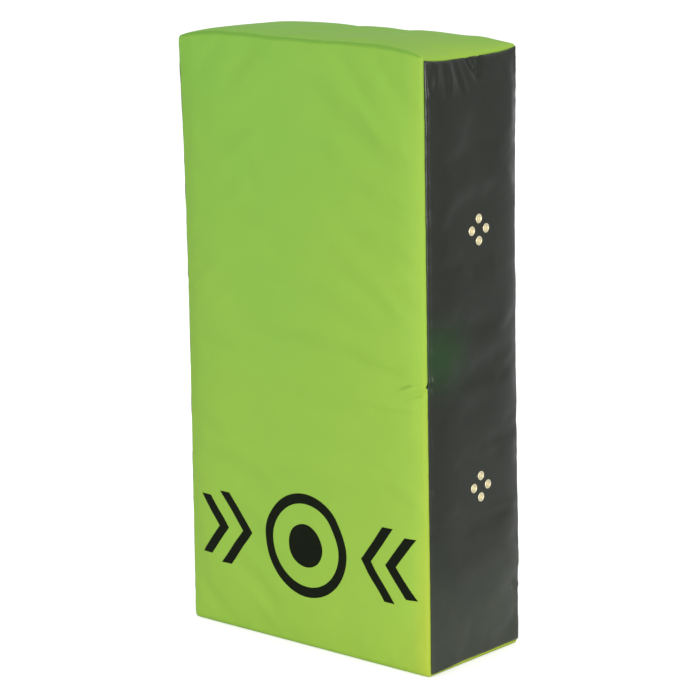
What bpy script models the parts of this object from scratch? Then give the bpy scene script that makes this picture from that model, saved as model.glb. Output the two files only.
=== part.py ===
"""Rugby hit shield: a foam block in a sewn vinyl cover, held by two padded handles on its back.

Metres, +Z up. The struck face looks towards -Y, the handles stand out towards +Y, and the
origin is on the floor under the middle of the block. Each piece of the cover and of the foam is
laid out in a plain box first. shape() then rounds that box's two front folds, crowns its faces
and draws its seams in, so pieces that lie face to face stay so.
"""

import math

import bmesh
import bpy
from mathutils import Matrix, Vector
from mathutils.bvhtree import BVHTree

# Block, measured from seam to seam
WIDTH = 0.370
DEPTH = 0.162
HEIGHT = 0.700

# Cover
COVER_THICK = 0.0010
SEAM_ALLOWANCE = 0.0080
FOLD_RADIUS = 0.0050
GAP = 0.0003
ROOMY_GAP = 0.0010
OVERRUN = 0.0100

# Crowned faces and drawn seams
CROWN_FRONT = 0.0060
CROWN_BACK = 0.0040
CROWN_SIDE = 0.0050
CROWN_TOP_FRONT = 0.0120
CROWN_TOP_BACK = 0.0055
TOP_SWELL = 0.0020
SEAM_DRAW = 0.0040
SEAM_DRAW_FOOT_SHARE = 0.4
TOP_SEAM_DRAW = 0.0055
FLOOR_SEAM_LIFT = 0.0035

# Foam, glued up from three slabs
STRIKE_FOAM_DEPTH = 0.045
BACK_FOAM_DEPTH = 0.041

# Air vents, two diamonds of four on each side
VENT_SPREAD = 0.295
VENT_RISE = 0.0055
VENT_BACK_SET = 0.0020
DIAMOND_RADIUS = 0.0125
EYELET_RADIUS = 0.0055
EYELET_BORE_RADIUS = 0.0030
EYELET_WALL = 0.0004
EYELET_DOME = 0.0010
EYELET_RIM = 0.0004
EYELET_CURL_RADIUS = 0.0047
EYELET_CURL_THICK = 0.0005
WASHER_THICK = 0.0005
EYELET_SEGMENTS = 16
WASHER_SEGMENTS = 12
POCKET_SEGMENTS = 16

# Handles
HANDLE_SPREAD = 0.150
HANDLE_CENTRE_HEIGHT = 0.365
HANDLE_SPAN = 0.220
WEBBING_WIDTH = 0.038
WEBBING_THICK = 0.0024
TAB_LENGTH = 0.060
PATCH_MARGIN = 0.012
LOOP_REACH = 0.052
LOOP_RISE_LENGTH = 0.046
GRIP_END_ROOM = 0.008
GRIP_WIDTH = 0.046
GRIP_THICK = 0.022
GRIP_END_EASE = 0.006
GRIP_END_SHARE = 0.80
GRIP_SHOULDER_SHARE = 0.94
LOOP_STEPS = 8
GRIP_SIDES = 20

# Zip across the foot of the back
ZIP_HEIGHT = 0.045
ZIP_SLOT = 0.022
ZIP_FLAT_MARGIN = 0.012
ZIP_RAMP = 0.060
TAPE_WIDTH = 0.016
TAPE_THICK = 0.0008
TEETH_THICK = 0.0026
TEETH_WIDTH = 0.0036
TEETH_NOTCH = 0.0012
TEETH_PITCH = 0.0070
TEETH_SPLIT = 0.0016
STOP_LENGTH = 0.0050
STOP_WIDTH = 0.0042
STOP_THICK = 0.0032
STOP_INSET = 0.0020
SLIDER_LENGTH = 0.0170
SLIDER_NOSE_WIDTH = 0.0125
SLIDER_TAIL_WIDTH = 0.0098
SLIDER_PLATE = 0.0014
SLIDER_CLEARANCE = 0.0004
POST_WIDTH = 0.0010
POST_LENGTH = 0.0040
LUG_LENGTH = 0.0090
LUG_WIDTH = 0.0024
LUG_BAR = 0.0014
PULL_PIN_RADIUS = 0.0008
PULL_LENGTH = 0.0330
PULL_WIDTH = 0.0090
PULL_THICK = 0.0016
PULL_EYE_LENGTH = 0.0120

# Where the panels' facets fall, as shares of the stretch between the eased edges
ACROSS_SHARES = (0.04, 0.12, 0.26, 0.42, 0.58, 0.74, 0.88, 0.96)
UP_SHARES = (0.05, 0.13, 0.24, 0.37, 0.50, 0.63, 0.76, 0.87, 0.95)
CORE_SHARE = 0.5

# How square the crowned forms are: 2 is round, and more is flatter with a tighter turn at its edge
FACE_POWER = 6
SIDE_POWER = 4
TOP_POWER = 6
DRAW_POWER = 2.4
TOP_REACH_POWER = 8
GRIP_ACROSS_POWER = 3.3
GRIP_THROUGH_POWER = 2.5

grip_length = HANDLE_SPAN - 2 * (LOOP_RISE_LENGTH + GRIP_END_ROOM)
half_width = WIDTH / 2
half_depth = DEPTH / 2
root2 = math.sqrt(2)
lip_depth = SEAM_ALLOWANCE / root2
seam_step = GAP / root2
foam_inset = COVER_THICK + GAP
edge_ease = 2 * lip_depth + COVER_THICK * root2 + ROOMY_GAP - foam_inset
strike_face = STRIKE_FOAM_DEPTH - half_depth
back_face = half_depth - BACK_FOAM_DEPTH
zip_flat_top = ZIP_HEIGHT + ZIP_SLOT / 2 + ZIP_FLAT_MARGIN


# Colours and finishes

def srgb(hex_colour):
    """Linear RGBA of an sRGB hex colour."""
    channels = [int(hex_colour[i : i + 2], 16) / 255 for i in (0, 2, 4)]
    linear = [c / 12.92 if c <= 0.04045 else ((c + 0.055) / 1.055) ** 2.4 for c in channels]
    return (*linear, 1.0)


def finish(name, hex_colour, roughness, metallic=0.0):
    material = bpy.data.materials.new(name)
    material.use_nodes = True
    shader = material.node_tree.nodes["Principled BSDF"]
    shader.inputs["Base Color"].default_value = srgb(hex_colour)
    shader.inputs["Roughness"].default_value = roughness
    shader.inputs["Metallic"].default_value = metallic
    return material


# The block's form

def smooth_step(share):
    share = min(max(share, 0.0), 1.0)
    return share * share * (3 - 2 * share)


def round_folds(point):
    """Turns the plain box's two front edges, top and bottom, into quarter rounds."""
    x, y, z = point
    centre_y = FOLD_RADIUS - half_depth
    top = z > HEIGHT / 2
    centre_z = HEIGHT - FOLD_RADIUS if top else FOLD_RADIUS
    out = (centre_y - y) / FOLD_RADIUS
    up = (z - centre_z) / FOLD_RADIUS if top else (centre_z - z) / FOLD_RADIUS
    if out <= 0 or up <= 0:
        return Vector(point)
    reach = max(out, up) * FOLD_RADIUS
    turn = math.pi / 4 * (up / out if out >= up else 2 - out / up)
    rise = reach * math.sin(turn)
    return Vector((x, centre_y - reach * math.cos(turn), centre_z + (rise if top else -rise)))


def crown_and_draw(point):
    """Crowns the faces, draws the seams in between the corners and lifts the floor seams."""
    x, y, z = point
    across = x / half_width
    along = y / half_depth
    up = z / HEIGHT
    between_ends = 1 - abs(2 * up - 1) ** FACE_POWER
    foot_ease = SEAM_DRAW_FOOT_SHARE + (1 - SEAM_DRAW_FOOT_SHARE) * up
    draw = SEAM_DRAW * (1 - abs(2 * up - 1) ** DRAW_POWER) * foot_ease
    at_side = abs(along) ** SIDE_POWER
    side_push = CROWN_SIDE * (1 - at_side) * between_ends - draw * at_side
    at_edge = abs(across) ** FACE_POWER
    face_crown = CROWN_BACK if along > 0 else CROWN_FRONT
    face_push = face_crown * (1 - at_edge) * between_ends - draw * at_edge
    if along > 0:
        face_push *= smooth_step((z - zip_flat_top) / ZIP_RAMP)
    at_top_edge = abs(across) ** TOP_POWER
    back_share = (along + 1) / 2
    top_crown = CROWN_TOP_FRONT + (CROWN_TOP_BACK - CROWN_TOP_FRONT) * back_share
    top_crown += TOP_SWELL * (1 - along * along)
    top_push = top_crown * (1 - at_top_edge) - TOP_SEAM_DRAW * at_top_edge * (1 - at_side)
    side_curl = max(0.0, (abs(x) - half_width) / edge_ease + 1)
    back_curl = max(0.0, (y - half_depth) / edge_ease + 1)
    lift = FLOOR_SEAM_LIFT * max(side_curl, back_curl) ** 2 * (1 - up) ** TOP_REACH_POWER
    return Vector(
        (
            x + across * side_push,
            y + along * face_push,
            z + top_push * up**TOP_REACH_POWER + lift,
        )
    )


def shape(point):
    return crown_and_draw(round_folds(point))


# Mesh helpers

def as_object(name, mesh_data, material):
    """Makes an object from a bmesh, with its faces pointing out."""
    bmesh.ops.recalc_face_normals(mesh_data, faces=mesh_data.faces)
    mesh = bpy.data.meshes.new(name)
    mesh_data.to_mesh(mesh)
    mesh_data.free()
    made = bpy.data.objects.new(name, mesh)
    bpy.context.collection.objects.link(made)
    made.data.materials.append(material)
    return made


def cell(mesh_data, corner, next_u, far, next_v):
    """Fills a grid cell with two triangles, always split the same way, so that stacked grids match."""
    for three in ((corner, next_u, far), (corner, far, next_v)):
        if len(set(three)) == 3:
            mesh_data.faces.new(three)


def smooth_shaded(made, angle_degrees=40):
    made.data.shade_smooth()
    made.data.set_sharp_from_angle(angle=math.radians(angle_degrees))
    return made


def apply_boolean(made, cutter, operation="DIFFERENCE"):
    """Cuts or joins with a helper, which stays out of renders, and keeps the result on the mesh."""
    cutter.hide_render = True
    cutter.display_type = "WIRE"
    modifier = made.modifiers.new(operation.title(), "BOOLEAN")
    modifier.operation = operation
    modifier.object = cutter
    bpy.context.view_layer.update()
    graph = bpy.context.evaluated_depsgraph_get()
    result = bpy.data.meshes.new_from_object(made.evaluated_get(graph))
    made.modifiers.clear()
    made.data = result
    bpy.data.objects.remove(cutter)
    return made


def prism(name, outline, low, high, axes, material):
    """Extrudes an outline between two heights.

    axes gives the world axis of the outline's first value, of its second value and of its height.
    """
    mesh_data = bmesh.new()
    rings = []
    for height in (low, high):
        ring = []
        for first, second in outline:
            place = [0.0, 0.0, 0.0]
            place[axes[0]], place[axes[1]], place[axes[2]] = first, second, height
            ring.append(mesh_data.verts.new(place))
        rings.append(mesh_data.faces.new(ring))
    bmesh.ops.bridge_loops(mesh_data, edges=[edge for ring in rings for edge in ring.edges])
    bmesh.ops.triangulate(mesh_data, faces=mesh_data.faces)
    return as_object(name, mesh_data, material)


def box(name, low, high, material):
    outline = ((low[0], low[1]), (high[0], low[1]), (high[0], high[1]), (low[0], high[1]))
    return prism(name, outline, low[2], high[2], (0, 1, 2), material)


def revolve(name, profile, segments, material):
    """Turns a closed profile of (radius, height) points about Z."""
    mesh_data = bmesh.new()
    points = [mesh_data.verts.new((radius, 0, height)) for radius, height in profile]
    edges = [mesh_data.edges.new((points[i - 1], points[i])) for i in range(len(points))]
    bmesh.ops.spin(
        mesh_data,
        geom=points + edges,
        cent=(0, 0, 0),
        axis=(0, 0, 1),
        angle=math.tau,
        steps=segments,
        use_merge=True,
    )
    bmesh.ops.remove_doubles(mesh_data, verts=mesh_data.verts, dist=EYELET_WALL / 100)
    return as_object(name, mesh_data, material)


# Cover panels

def stations(low, high, shares, steps):
    """Facet lines from low to high: steps in from both ends, and shares of what is left between them."""
    first, last = low + steps[-1], high - steps[-1]
    middle = [first + share * (last - first) for share in shares]
    return [low, *(low + s for s in steps), *middle, *(high - s for s in reversed(steps)), high]


fold_steps = (FOLD_RADIUS / 2, FOLD_RADIUS, edge_ease)
across_lines = stations(-half_width, half_width, ACROSS_SHARES, (edge_ease,))
up_lines = sorted([*stations(0, HEIGHT, UP_SHARES, fold_steps), zip_flat_top])
core_middle = strike_face + CORE_SHARE * (back_face - strike_face)
depth_lines = [
    -half_depth,
    *(step - half_depth for step in fold_steps),
    strike_face,
    core_middle,
    back_face,
    half_depth - edge_ease,
    half_depth,
]


def panel(name, u_lines, v_lines, to_box, lips, material):
    """A sheet of cover with its seam allowance turned in along the edges named in lips.

    u_lines and v_lines are the sheet's facet lines, and to_box(u, v, depth) gives a place in the
    plain box. lips holds two pairs of true or false: low and high u, and low and high v.
    """
    mesh_data = bmesh.new()
    turned_u = [lips[0][0], *(False for _ in u_lines), lips[0][1]]
    u_list = [u_lines[0], *u_lines, u_lines[-1]]
    turned_v = [lips[1][0], *(False for _ in v_lines), lips[1][1]]
    v_list = [v_lines[0], *v_lines, v_lines[-1]]
    u_range = range(0 if lips[0][0] else 1, len(u_list) - (0 if lips[0][1] else 1))
    v_range = range(0 if lips[1][0] else 1, len(v_list) - (0 if lips[1][1] else 1))

    def kept_in(value, lines, edge_lips, inset):
        low = lines[0] + (inset if edge_lips[0] else 0)
        high = lines[-1] - (inset if edge_lips[1] else 0)
        return min(max(value, low), high)

    def layer(depth, inset, lip_inset):
        verts = {}
        for i in u_range:
            for j in v_range:
                on_lip = turned_u[i] or turned_v[j]
                edge = lip_inset if on_lip else inset
                u = kept_in(u_list[i], u_lines, lips[0], edge)
                v = kept_in(v_list[j], v_lines, lips[1], edge)
                verts[i, j] = mesh_data.verts.new(shape(to_box(u, v, lip_depth if on_lip else depth)))
        for i in u_range[:-1]:
            for j in v_range[:-1]:
                cell(mesh_data, verts[i, j], verts[i + 1, j], verts[i + 1, j + 1], verts[i, j + 1])
        return verts

    outer = layer(0, seam_step, lip_depth + seam_step)
    inner = layer(
        COVER_THICK,
        COVER_THICK * (1 + root2) + seam_step,
        lip_depth + COVER_THICK * root2 + seam_step,
    )
    rim = [(i, v_range[0]) for i in u_range[:-1]]
    rim += [(u_range[-1], j) for j in v_range[:-1]]
    rim += [(i, v_range[-1]) for i in reversed(u_range[1:])]
    rim += [(u_range[0], j) for j in reversed(v_range[1:])]
    for here, after in zip(rim, rim[1:] + rim[:1]):
        cell(mesh_data, outer[here], outer[after], inner[after], inner[here])
    bmesh.ops.remove_doubles(mesh_data, verts=mesh_data.verts, dist=GAP / 100)
    bmesh.ops.dissolve_degenerate(mesh_data, edges=mesh_data.edges, dist=GAP / 100)
    return smooth_shaded(as_object(name, mesh_data, material))


def wrap_to_box(x, run, depth):
    """The one green strip: from the back seam along the floor, up the front and back over the top."""
    if run <= DEPTH:
        return (x, max(half_depth - run, depth - half_depth), depth)
    if run <= DEPTH + HEIGHT:
        return (x, depth - half_depth, min(max(run - DEPTH, depth), HEIGHT - depth))
    return (x, max(run - DEPTH - HEIGHT - half_depth, depth - half_depth), HEIGHT - depth)


def make_cover(green, black):
    """Five panels: the green wrap, two black sides, and a black back in two with the zip between."""
    wrap_lines = [half_depth - y for y in reversed(depth_lines)]
    wrap_lines += [DEPTH + z for z in up_lines[1:]]
    wrap_lines += [DEPTH + HEIGHT + half_depth + y for y in depth_lines[1:]]
    every_lip = ((True, True), (True, True))
    panel("front_wrap_panel", across_lines, wrap_lines, wrap_to_box, every_lip, green)
    sides = {}
    for word, side in (("left", -1), ("right", 1)):
        sides[word] = panel(
            word + "_side_panel",
            depth_lines,
            up_lines,
            lambda y, z, depth, side=side: (side * (half_width - depth), y, z),
            every_lip,
            black,
        )
    slot_low = ZIP_HEIGHT - ZIP_SLOT / 2
    slot_high = ZIP_HEIGHT + ZIP_SLOT / 2
    above = [z for z in up_lines if slot_high + ZIP_SLOT / 4 < z <= HEIGHT - edge_ease]

    def back_to_box(x, z, depth):
        return (x, half_depth - depth, z)

    panel(
        "back_panel",
        across_lines,
        [slot_high, *above, HEIGHT],
        back_to_box,
        ((True, True), (False, True)),
        black,
    )
    panel(
        "back_foot_panel",
        across_lines,
        [0, edge_ease, slot_low],
        back_to_box,
        ((True, True), (True, False)),
        black,
    )
    return sides


# Foam

def foam_slab(name, y_lines, material):
    """One slab of the block, eased along the seams so that the allowances lie free inside."""
    x_lines = list(across_lines)
    z_lines = sorted([*stations(0, HEIGHT, UP_SHARES, (edge_ease,)), zip_flat_top])
    lines = (x_lines, y_lines, z_lines)
    last = [len(values) - 1 for values in lines]
    limits = ((-half_width, half_width), (-half_depth, half_depth), (0, HEIGHT))
    mid_ease = (foam_inset + edge_ease) / 2
    mesh_data = bmesh.new()
    verts = {}

    def place(key):
        ends = [key[axis] in (0, last[axis]) for axis in range(3)]
        at_back = abs(y_lines[key[1]] - half_depth) < GAP
        at_front = abs(y_lines[key[1]] + half_depth) < GAP
        on_seam = (ends[0] and (ends[2] or at_back or at_front)) or (ends[2] and at_back)
        inset = mid_ease if on_seam else foam_inset
        spot = []
        for axis, (low, high) in enumerate(limits):
            spot.append(min(max(lines[axis][key[axis]], low + inset), high - inset))
        return shape(spot)

    def vert(*key):
        if key not in verts:
            verts[key] = mesh_data.verts.new(place(key))
        return verts[key]

    for j in range(last[1]):
        for k in range(last[2]):
            for end in (0, last[0]):
                corners = [vert(end, j, k), vert(end, j + 1, k), vert(end, j + 1, k + 1), vert(end, j, k + 1)]
                cell(mesh_data, *corners)
    for i in range(last[0]):
        for k in range(last[2]):
            for end in (0, last[1]):
                corners = [vert(i, end, k), vert(i + 1, end, k), vert(i + 1, end, k + 1), vert(i, end, k + 1)]
                cell(mesh_data, *corners)
        for j in range(last[1]):
            corners = [vert(i, j + 1, 0), vert(i + 1, j + 1, 0), vert(i + 1, j, 0), vert(i, j, 0)]
            cell(mesh_data, *corners)
            top = last[2]
            corners = [vert(i, j, top), vert(i + 1, j, top), vert(i + 1, j + 1, top), vert(i, j + 1, top)]
            cell(mesh_data, *corners)
    return smooth_shaded(as_object(name, mesh_data, material), 25)


def make_foam(foam):
    half_gap = GAP / 2
    foam_slab("strike_foam_slab", [-half_depth, edge_ease - half_depth, strike_face - half_gap], foam)
    core = foam_slab("core_foam_slab", [strike_face + half_gap, core_middle, back_face - half_gap], foam)
    back = foam_slab("back_foam_slab", [back_face + half_gap, half_depth - edge_ease, half_depth], foam)
    pocket_radius = DIAMOND_RADIUS + EYELET_RADIUS + ROOMY_GAP
    pocket_floor = COVER_THICK + 3 * GAP + WASHER_THICK + EYELET_CURL_THICK + ROOMY_GAP / 2
    for side in (-1, 1):
        for height in vent_heights:
            centre = shape((side * half_width, VENT_BACK_SET, height))
            deep = abs(centre.x) - pocket_floor
            ring = []
            for step in range(POCKET_SEGMENTS):
                angle = math.tau * step / POCKET_SEGMENTS
                y = centre.y + pocket_radius * math.cos(angle)
                z = centre.z + pocket_radius * math.sin(angle)
                ring.append((y, z))
            ends = sorted((side * deep, side * (deep + OVERRUN)))
            apply_boolean(core, prism("pocket", ring, *ends, (1, 2, 0), foam))
    reach = half_width + OVERRUN
    tape_floor = zip_plane - TAPE_THICK / 2 - GAP
    slider_floor = zip_plane - slider_half_height - GAP
    tape_half = TEETH_SPLIT / 2 + TAPE_WIDTH + ROOMY_GAP
    slider_half = SLIDER_NOSE_WIDTH / 2 + ROOMY_GAP
    channel = [
        (half_depth + OVERRUN, ZIP_HEIGHT - tape_half),
        (half_depth + OVERRUN, ZIP_HEIGHT + tape_half),
        (tape_floor, ZIP_HEIGHT + tape_half),
        (tape_floor, ZIP_HEIGHT + slider_half),
        (slider_floor, ZIP_HEIGHT + slider_half),
        (slider_floor, ZIP_HEIGHT - slider_half),
        (tape_floor, ZIP_HEIGHT - slider_half),
        (tape_floor, ZIP_HEIGHT - tape_half),
    ]
    apply_boolean(back, prism("zip_channel", channel, -reach, reach, (1, 2, 0), foam))


# Air vents

vent_middle = HEIGHT / 2 + VENT_RISE
vent_heights = (vent_middle - VENT_SPREAD / 2, vent_middle + VENT_SPREAD / 2)


def surface_of(made):
    graph = bpy.context.evaluated_depsgraph_get()
    return BVHTree.FromObject(made, graph)


def make_vents(sides, brass):
    """Sets each eyelet square to its panel, with a hole cut for its barrel and a washer clinched behind."""
    barrel_radius = EYELET_BORE_RADIUS + EYELET_WALL
    washer_top = -COVER_THICK - GAP
    curl_top = washer_top - WASHER_THICK - GAP
    curl_foot = curl_top - EYELET_CURL_THICK
    eyelet = revolve(
        "eyelet_pattern",
        [
            (EYELET_BORE_RADIUS, curl_foot),
            (EYELET_CURL_RADIUS, curl_foot),
            (EYELET_CURL_RADIUS, curl_top),
            (barrel_radius, curl_top),
            (barrel_radius, GAP),
            (EYELET_RADIUS, GAP),
            (EYELET_RADIUS, GAP + EYELET_RIM),
            ((EYELET_RADIUS + barrel_radius) / 2, GAP + EYELET_DOME),
            (EYELET_BORE_RADIUS, GAP + EYELET_RIM),
        ],
        EYELET_SEGMENTS,
        brass,
    )
    washer = revolve(
        "washer_pattern",
        [
            (barrel_radius + GAP, washer_top),
            (EYELET_RADIUS, washer_top),
            (EYELET_RADIUS, washer_top - WASHER_THICK),
            (barrel_radius + GAP, washer_top - WASHER_THICK),
        ],
        WASHER_SEGMENTS,
        brass,
    )
    for pattern in (eyelet, washer):
        smooth_shaded(pattern)
    for word, side in (("left", -1), ("right", 1)):
        made = sides[word]
        surface = surface_of(made)
        for level, height in zip(("lower", "upper"), vent_heights):
            for point, turn in (("back", 0), ("top", 1), ("front", 2), ("bottom", 3)):
                angle = turn * math.pi / 2
                y = VENT_BACK_SET + DIAMOND_RADIUS * math.cos(angle)
                z = height + DIAMOND_RADIUS * math.sin(angle)
                start = Vector((side * (half_width + OVERRUN + CROWN_SIDE), y, z))
                spot, normal, _, _ = surface.ray_cast(start, Vector((-side, 0, 0)))
                stand = Matrix.Translation(spot) @ normal.to_track_quat("Z", "Y").to_matrix().to_4x4()
                drill = revolve(
                    "drill",
                    [
                        (0, -OVERRUN / 2),
                        (barrel_radius + GAP, -OVERRUN / 2),
                        (barrel_radius + GAP, OVERRUN / 2),
                        (0, OVERRUN / 2),
                    ],
                    WASHER_SEGMENTS,
                    brass,
                )
                drill.matrix_world = stand
                apply_boolean(made, drill)
                for word_of, pattern in (("eyelet", eyelet), ("washer", washer)):
                    copy = bpy.data.objects.new(f"{word}_{level}_{point}_{word_of}", pattern.data)
                    bpy.context.collection.objects.link(copy)
                    copy.matrix_world = stand
    bpy.data.objects.remove(eyelet)
    bpy.data.objects.remove(washer)


# Handles

def strap_line():
    """The middle of the webbing as (y, z) from the hinge: a flat tab, out to the grip, and back to a tab."""
    half_span = HANDLE_SPAN / 2
    line = [(0.0, half_span + TAB_LENGTH)]
    for step in range(LOOP_STEPS + 1):
        share = step / LOOP_STEPS
        out = LOOP_REACH * (1 - math.cos(math.pi * share)) / 2
        line.append((out, half_span - share * LOOP_RISE_LENGTH))
    return line + [(y, -z) for y, z in reversed(line)]


def thickened(line, thick):
    """Closed outline of a strip of the given thickness along a line of (y, z) points."""
    left, right = [], []
    for i, here in enumerate(line):
        before, after = Vector(line[max(i - 1, 0)]), Vector(line[min(i + 1, len(line) - 1)])
        normal = (after - before).orthogonal().normalized() * (thick / 2)
        left.append(tuple(Vector(here) + normal))
        right.append(tuple(Vector(here) - normal))
    return left + right[::-1]


def grip_form(name, inset, material):
    """A rounded bar with softened ends, drawn in from the grip's outer size by inset."""
    half_length = grip_length / 2 - inset
    half_wide = GRIP_WIDTH / 2 - inset
    half_thick = GRIP_THICK / 2 - inset
    shoulder = half_length - GRIP_END_EASE / 3
    straight = half_length - GRIP_END_EASE
    ends = ((half_length, GRIP_END_SHARE), (shoulder, GRIP_SHOULDER_SHARE), (straight, 1))
    rows = [(-height, share) for height, share in ends] + list(reversed(ends))
    mesh_data = bmesh.new()
    rings = []
    for height, share in rows:
        ring = []
        for step in range(GRIP_SIDES):
            angle = math.tau * step / GRIP_SIDES
            cosine, sine = math.cos(angle), math.sin(angle)
            across = math.copysign(abs(cosine) ** (2 / GRIP_ACROSS_POWER), cosine)
            through = math.copysign(abs(sine) ** (2 / GRIP_THROUGH_POWER), sine)
            x = across * (half_wide - (1 - share) * half_thick)
            y = through * half_thick * share
            ring.append(mesh_data.verts.new((x, LOOP_REACH + y, height)))
        rings.append(ring)
    for lower, upper in zip(rings, rings[1:]):
        for i in range(GRIP_SIDES):
            mesh_data.faces.new((lower[i - 1], lower[i], upper[i], upper[i - 1]))
    mesh_data.faces.new(rings[0])
    mesh_data.faces.new(rings[-1])
    return as_object(name, mesh_data, material)


def webbing_way(material):
    """The slot that the webbing runs through."""
    half_slot = WEBBING_THICK / 2 + GAP
    half_across = WEBBING_WIDTH / 2 + GAP
    return box(
        "webbing_way",
        (-half_across, LOOP_REACH - half_slot, -grip_length),
        (half_across, LOOP_REACH + half_slot, grip_length),
        material,
    )


def make_grip(word, hinge, vinyl, foam):
    """A foam pad round the webbing, inside a vinyl sleeve with its ends turned in."""
    sleeve = grip_form(word + "_grip_sleeve", 0, vinyl)
    apply_boolean(sleeve, grip_form("hollow", COVER_THICK, vinyl))
    pad = grip_form(word + "_grip_pad", COVER_THICK + GAP, foam)
    for made in (sleeve, pad):
        apply_boolean(made, webbing_way(vinyl))
        made.parent = hinge
        smooth_shaded(made)


def make_handle(word, x, vinyl, webbing, foam):
    """A webbing strap sewn down over a patch at each end, with the grip that swings about those ends."""
    top = HANDLE_CENTRE_HEIGHT + HANDLE_SPAN / 2
    foot = HANDLE_CENTRE_HEIGHT - HANDLE_SPAN / 2
    half_web = WEBBING_WIDTH / 2
    half_patch = half_web + PATCH_MARGIN
    ends = (foot - TAB_LENGTH, foot, top, top + TAB_LENGTH)
    seat = max(shape((x + s * half_patch, half_depth, z)).y for s in (-1, 0, 1) for z in ends) + GAP
    axis_y = seat + COVER_THICK + GAP + WEBBING_THICK / 2
    corner = PATCH_MARGIN / 2
    for level, low, high in (("lower", foot - TAB_LENGTH, foot), ("upper", top, top + TAB_LENGTH)):
        outline = []
        for sx, sz in ((-1, -1), (1, -1), (1, 1), (-1, 1)):
            edge_z = low - PATCH_MARGIN if sz < 0 else high + PATCH_MARGIN
            cut = [(x + sx * half_patch, edge_z - sz * corner), (x + sx * (half_patch - corner), edge_z)]
            outline += cut if sx * sz > 0 else cut[::-1]
        prism(f"{word}_handle_{level}_patch", outline, seat, seat + COVER_THICK, (0, 2, 1), vinyl)
    hinge = bpy.data.objects.new(word + "_handle_hinge", None)
    bpy.context.collection.objects.link(hinge)
    hinge.location = (x, axis_y, HANDLE_CENTRE_HEIGHT)
    strap = prism(
        word + "_handle_strap",
        thickened(strap_line(), WEBBING_THICK),
        -half_web,
        half_web,
        (1, 2, 0),
        webbing,
    )
    strap.parent = hinge
    smooth_shaded(strap)
    make_grip(word, hinge, vinyl, foam)


# Zip

zip_plane = half_depth - COVER_THICK - GAP - TAPE_THICK / 2
zip_half_length = half_width - edge_ease - ROOMY_GAP
channel_half = TEETH_THICK / 2 + SLIDER_CLEARANCE
slider_half_height = channel_half + SLIDER_PLATE
slider_x = zip_half_length - STOP_INSET - STOP_LENGTH - SLIDER_LENGTH / 2 - ROOMY_GAP
pin_y = zip_plane + slider_half_height + PULL_PIN_RADIUS + SLIDER_CLEARANCE


def make_zip_half(word, side, tape_material):
    """A tape with its row of moulded teeth. side is 1 above the split and -1 below it."""
    near = TEETH_SPLIT / 2
    teeth_end = zip_half_length - STOP_INSET - STOP_LENGTH - GAP
    count = int(2 * teeth_end / TEETH_PITCH)
    start = -count * TEETH_PITCH / 2
    offset = 0 if side > 0 else TEETH_PITCH / 2
    comb = [(start, ZIP_HEIGHT + side * (near + TEETH_WIDTH))]
    for tooth in range(count - 1):
        left = start + offset + tooth * TEETH_PITCH
        tip = ZIP_HEIGHT + side * near
        root = tip + side * TEETH_NOTCH
        quarter = TEETH_PITCH / 4
        comb += [(left, root), (left + quarter, tip), (left + 2 * quarter, tip), (left + 3 * quarter, root)]
    comb[1] = (start, ZIP_HEIGHT + side * (near + TEETH_NOTCH))
    comb.append((-start, ZIP_HEIGHT + side * (near + TEETH_NOTCH)))
    comb.append((-start, ZIP_HEIGHT + side * (near + TEETH_WIDTH)))
    half_teeth = TEETH_THICK / 2
    teeth = prism("teeth", comb, zip_plane - half_teeth, zip_plane + half_teeth, (0, 2, 1), tape_material)
    heights = sorted((ZIP_HEIGHT + side * (near + TEETH_NOTCH), ZIP_HEIGHT + side * (near + TAPE_WIDTH)))
    tape = box(
        word + "_zip_tape",
        (-zip_half_length, zip_plane - TAPE_THICK / 2, heights[0]),
        (zip_half_length, zip_plane + TAPE_THICK / 2, heights[1]),
        tape_material,
    )
    apply_boolean(tape, teeth, "UNION")


def make_stops(metal):
    """One stop across both tapes where the zip opens to, and a clip on each tape where it closes."""
    half_stop = STOP_THICK / 2
    slot = TAPE_THICK / 2 + GAP
    near = TEETH_SPLIT / 2 + TEETH_NOTCH
    web = near - GAP
    far = near + STOP_WIDTH
    closed_end = (zip_half_length - STOP_INSET - STOP_LENGTH, zip_half_length - STOP_INSET)
    h_shape = [
        (zip_plane - half_stop, -far),
        (zip_plane - half_stop, far),
        (zip_plane - slot, far),
        (zip_plane - slot, web),
        (zip_plane + slot, web),
        (zip_plane + slot, far),
        (zip_plane + half_stop, far),
        (zip_plane + half_stop, -far),
        (zip_plane + slot, -far),
        (zip_plane + slot, -web),
        (zip_plane - slot, -web),
        (zip_plane - slot, -far),
    ]
    outline = [(y, ZIP_HEIGHT + z) for y, z in h_shape]
    prism("zip_bottom_stop", outline, -closed_end[1], -closed_end[0], (1, 2, 0), metal)
    for word, side in (("upper", 1), ("lower", -1)):
        u_shape = [
            (zip_plane - half_stop, TEETH_SPLIT / 2),
            (zip_plane - half_stop, far),
            (zip_plane - slot, far),
            (zip_plane - slot, web),
            (zip_plane + slot, web),
            (zip_plane + slot, far),
            (zip_plane + half_stop, far),
            (zip_plane + half_stop, TEETH_SPLIT / 2),
        ]
        outline = [(y, ZIP_HEIGHT + side * z) for y, z in u_shape]
        prism(word + "_zip_top_stop", outline, *closed_end, (1, 2, 0), metal)


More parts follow.
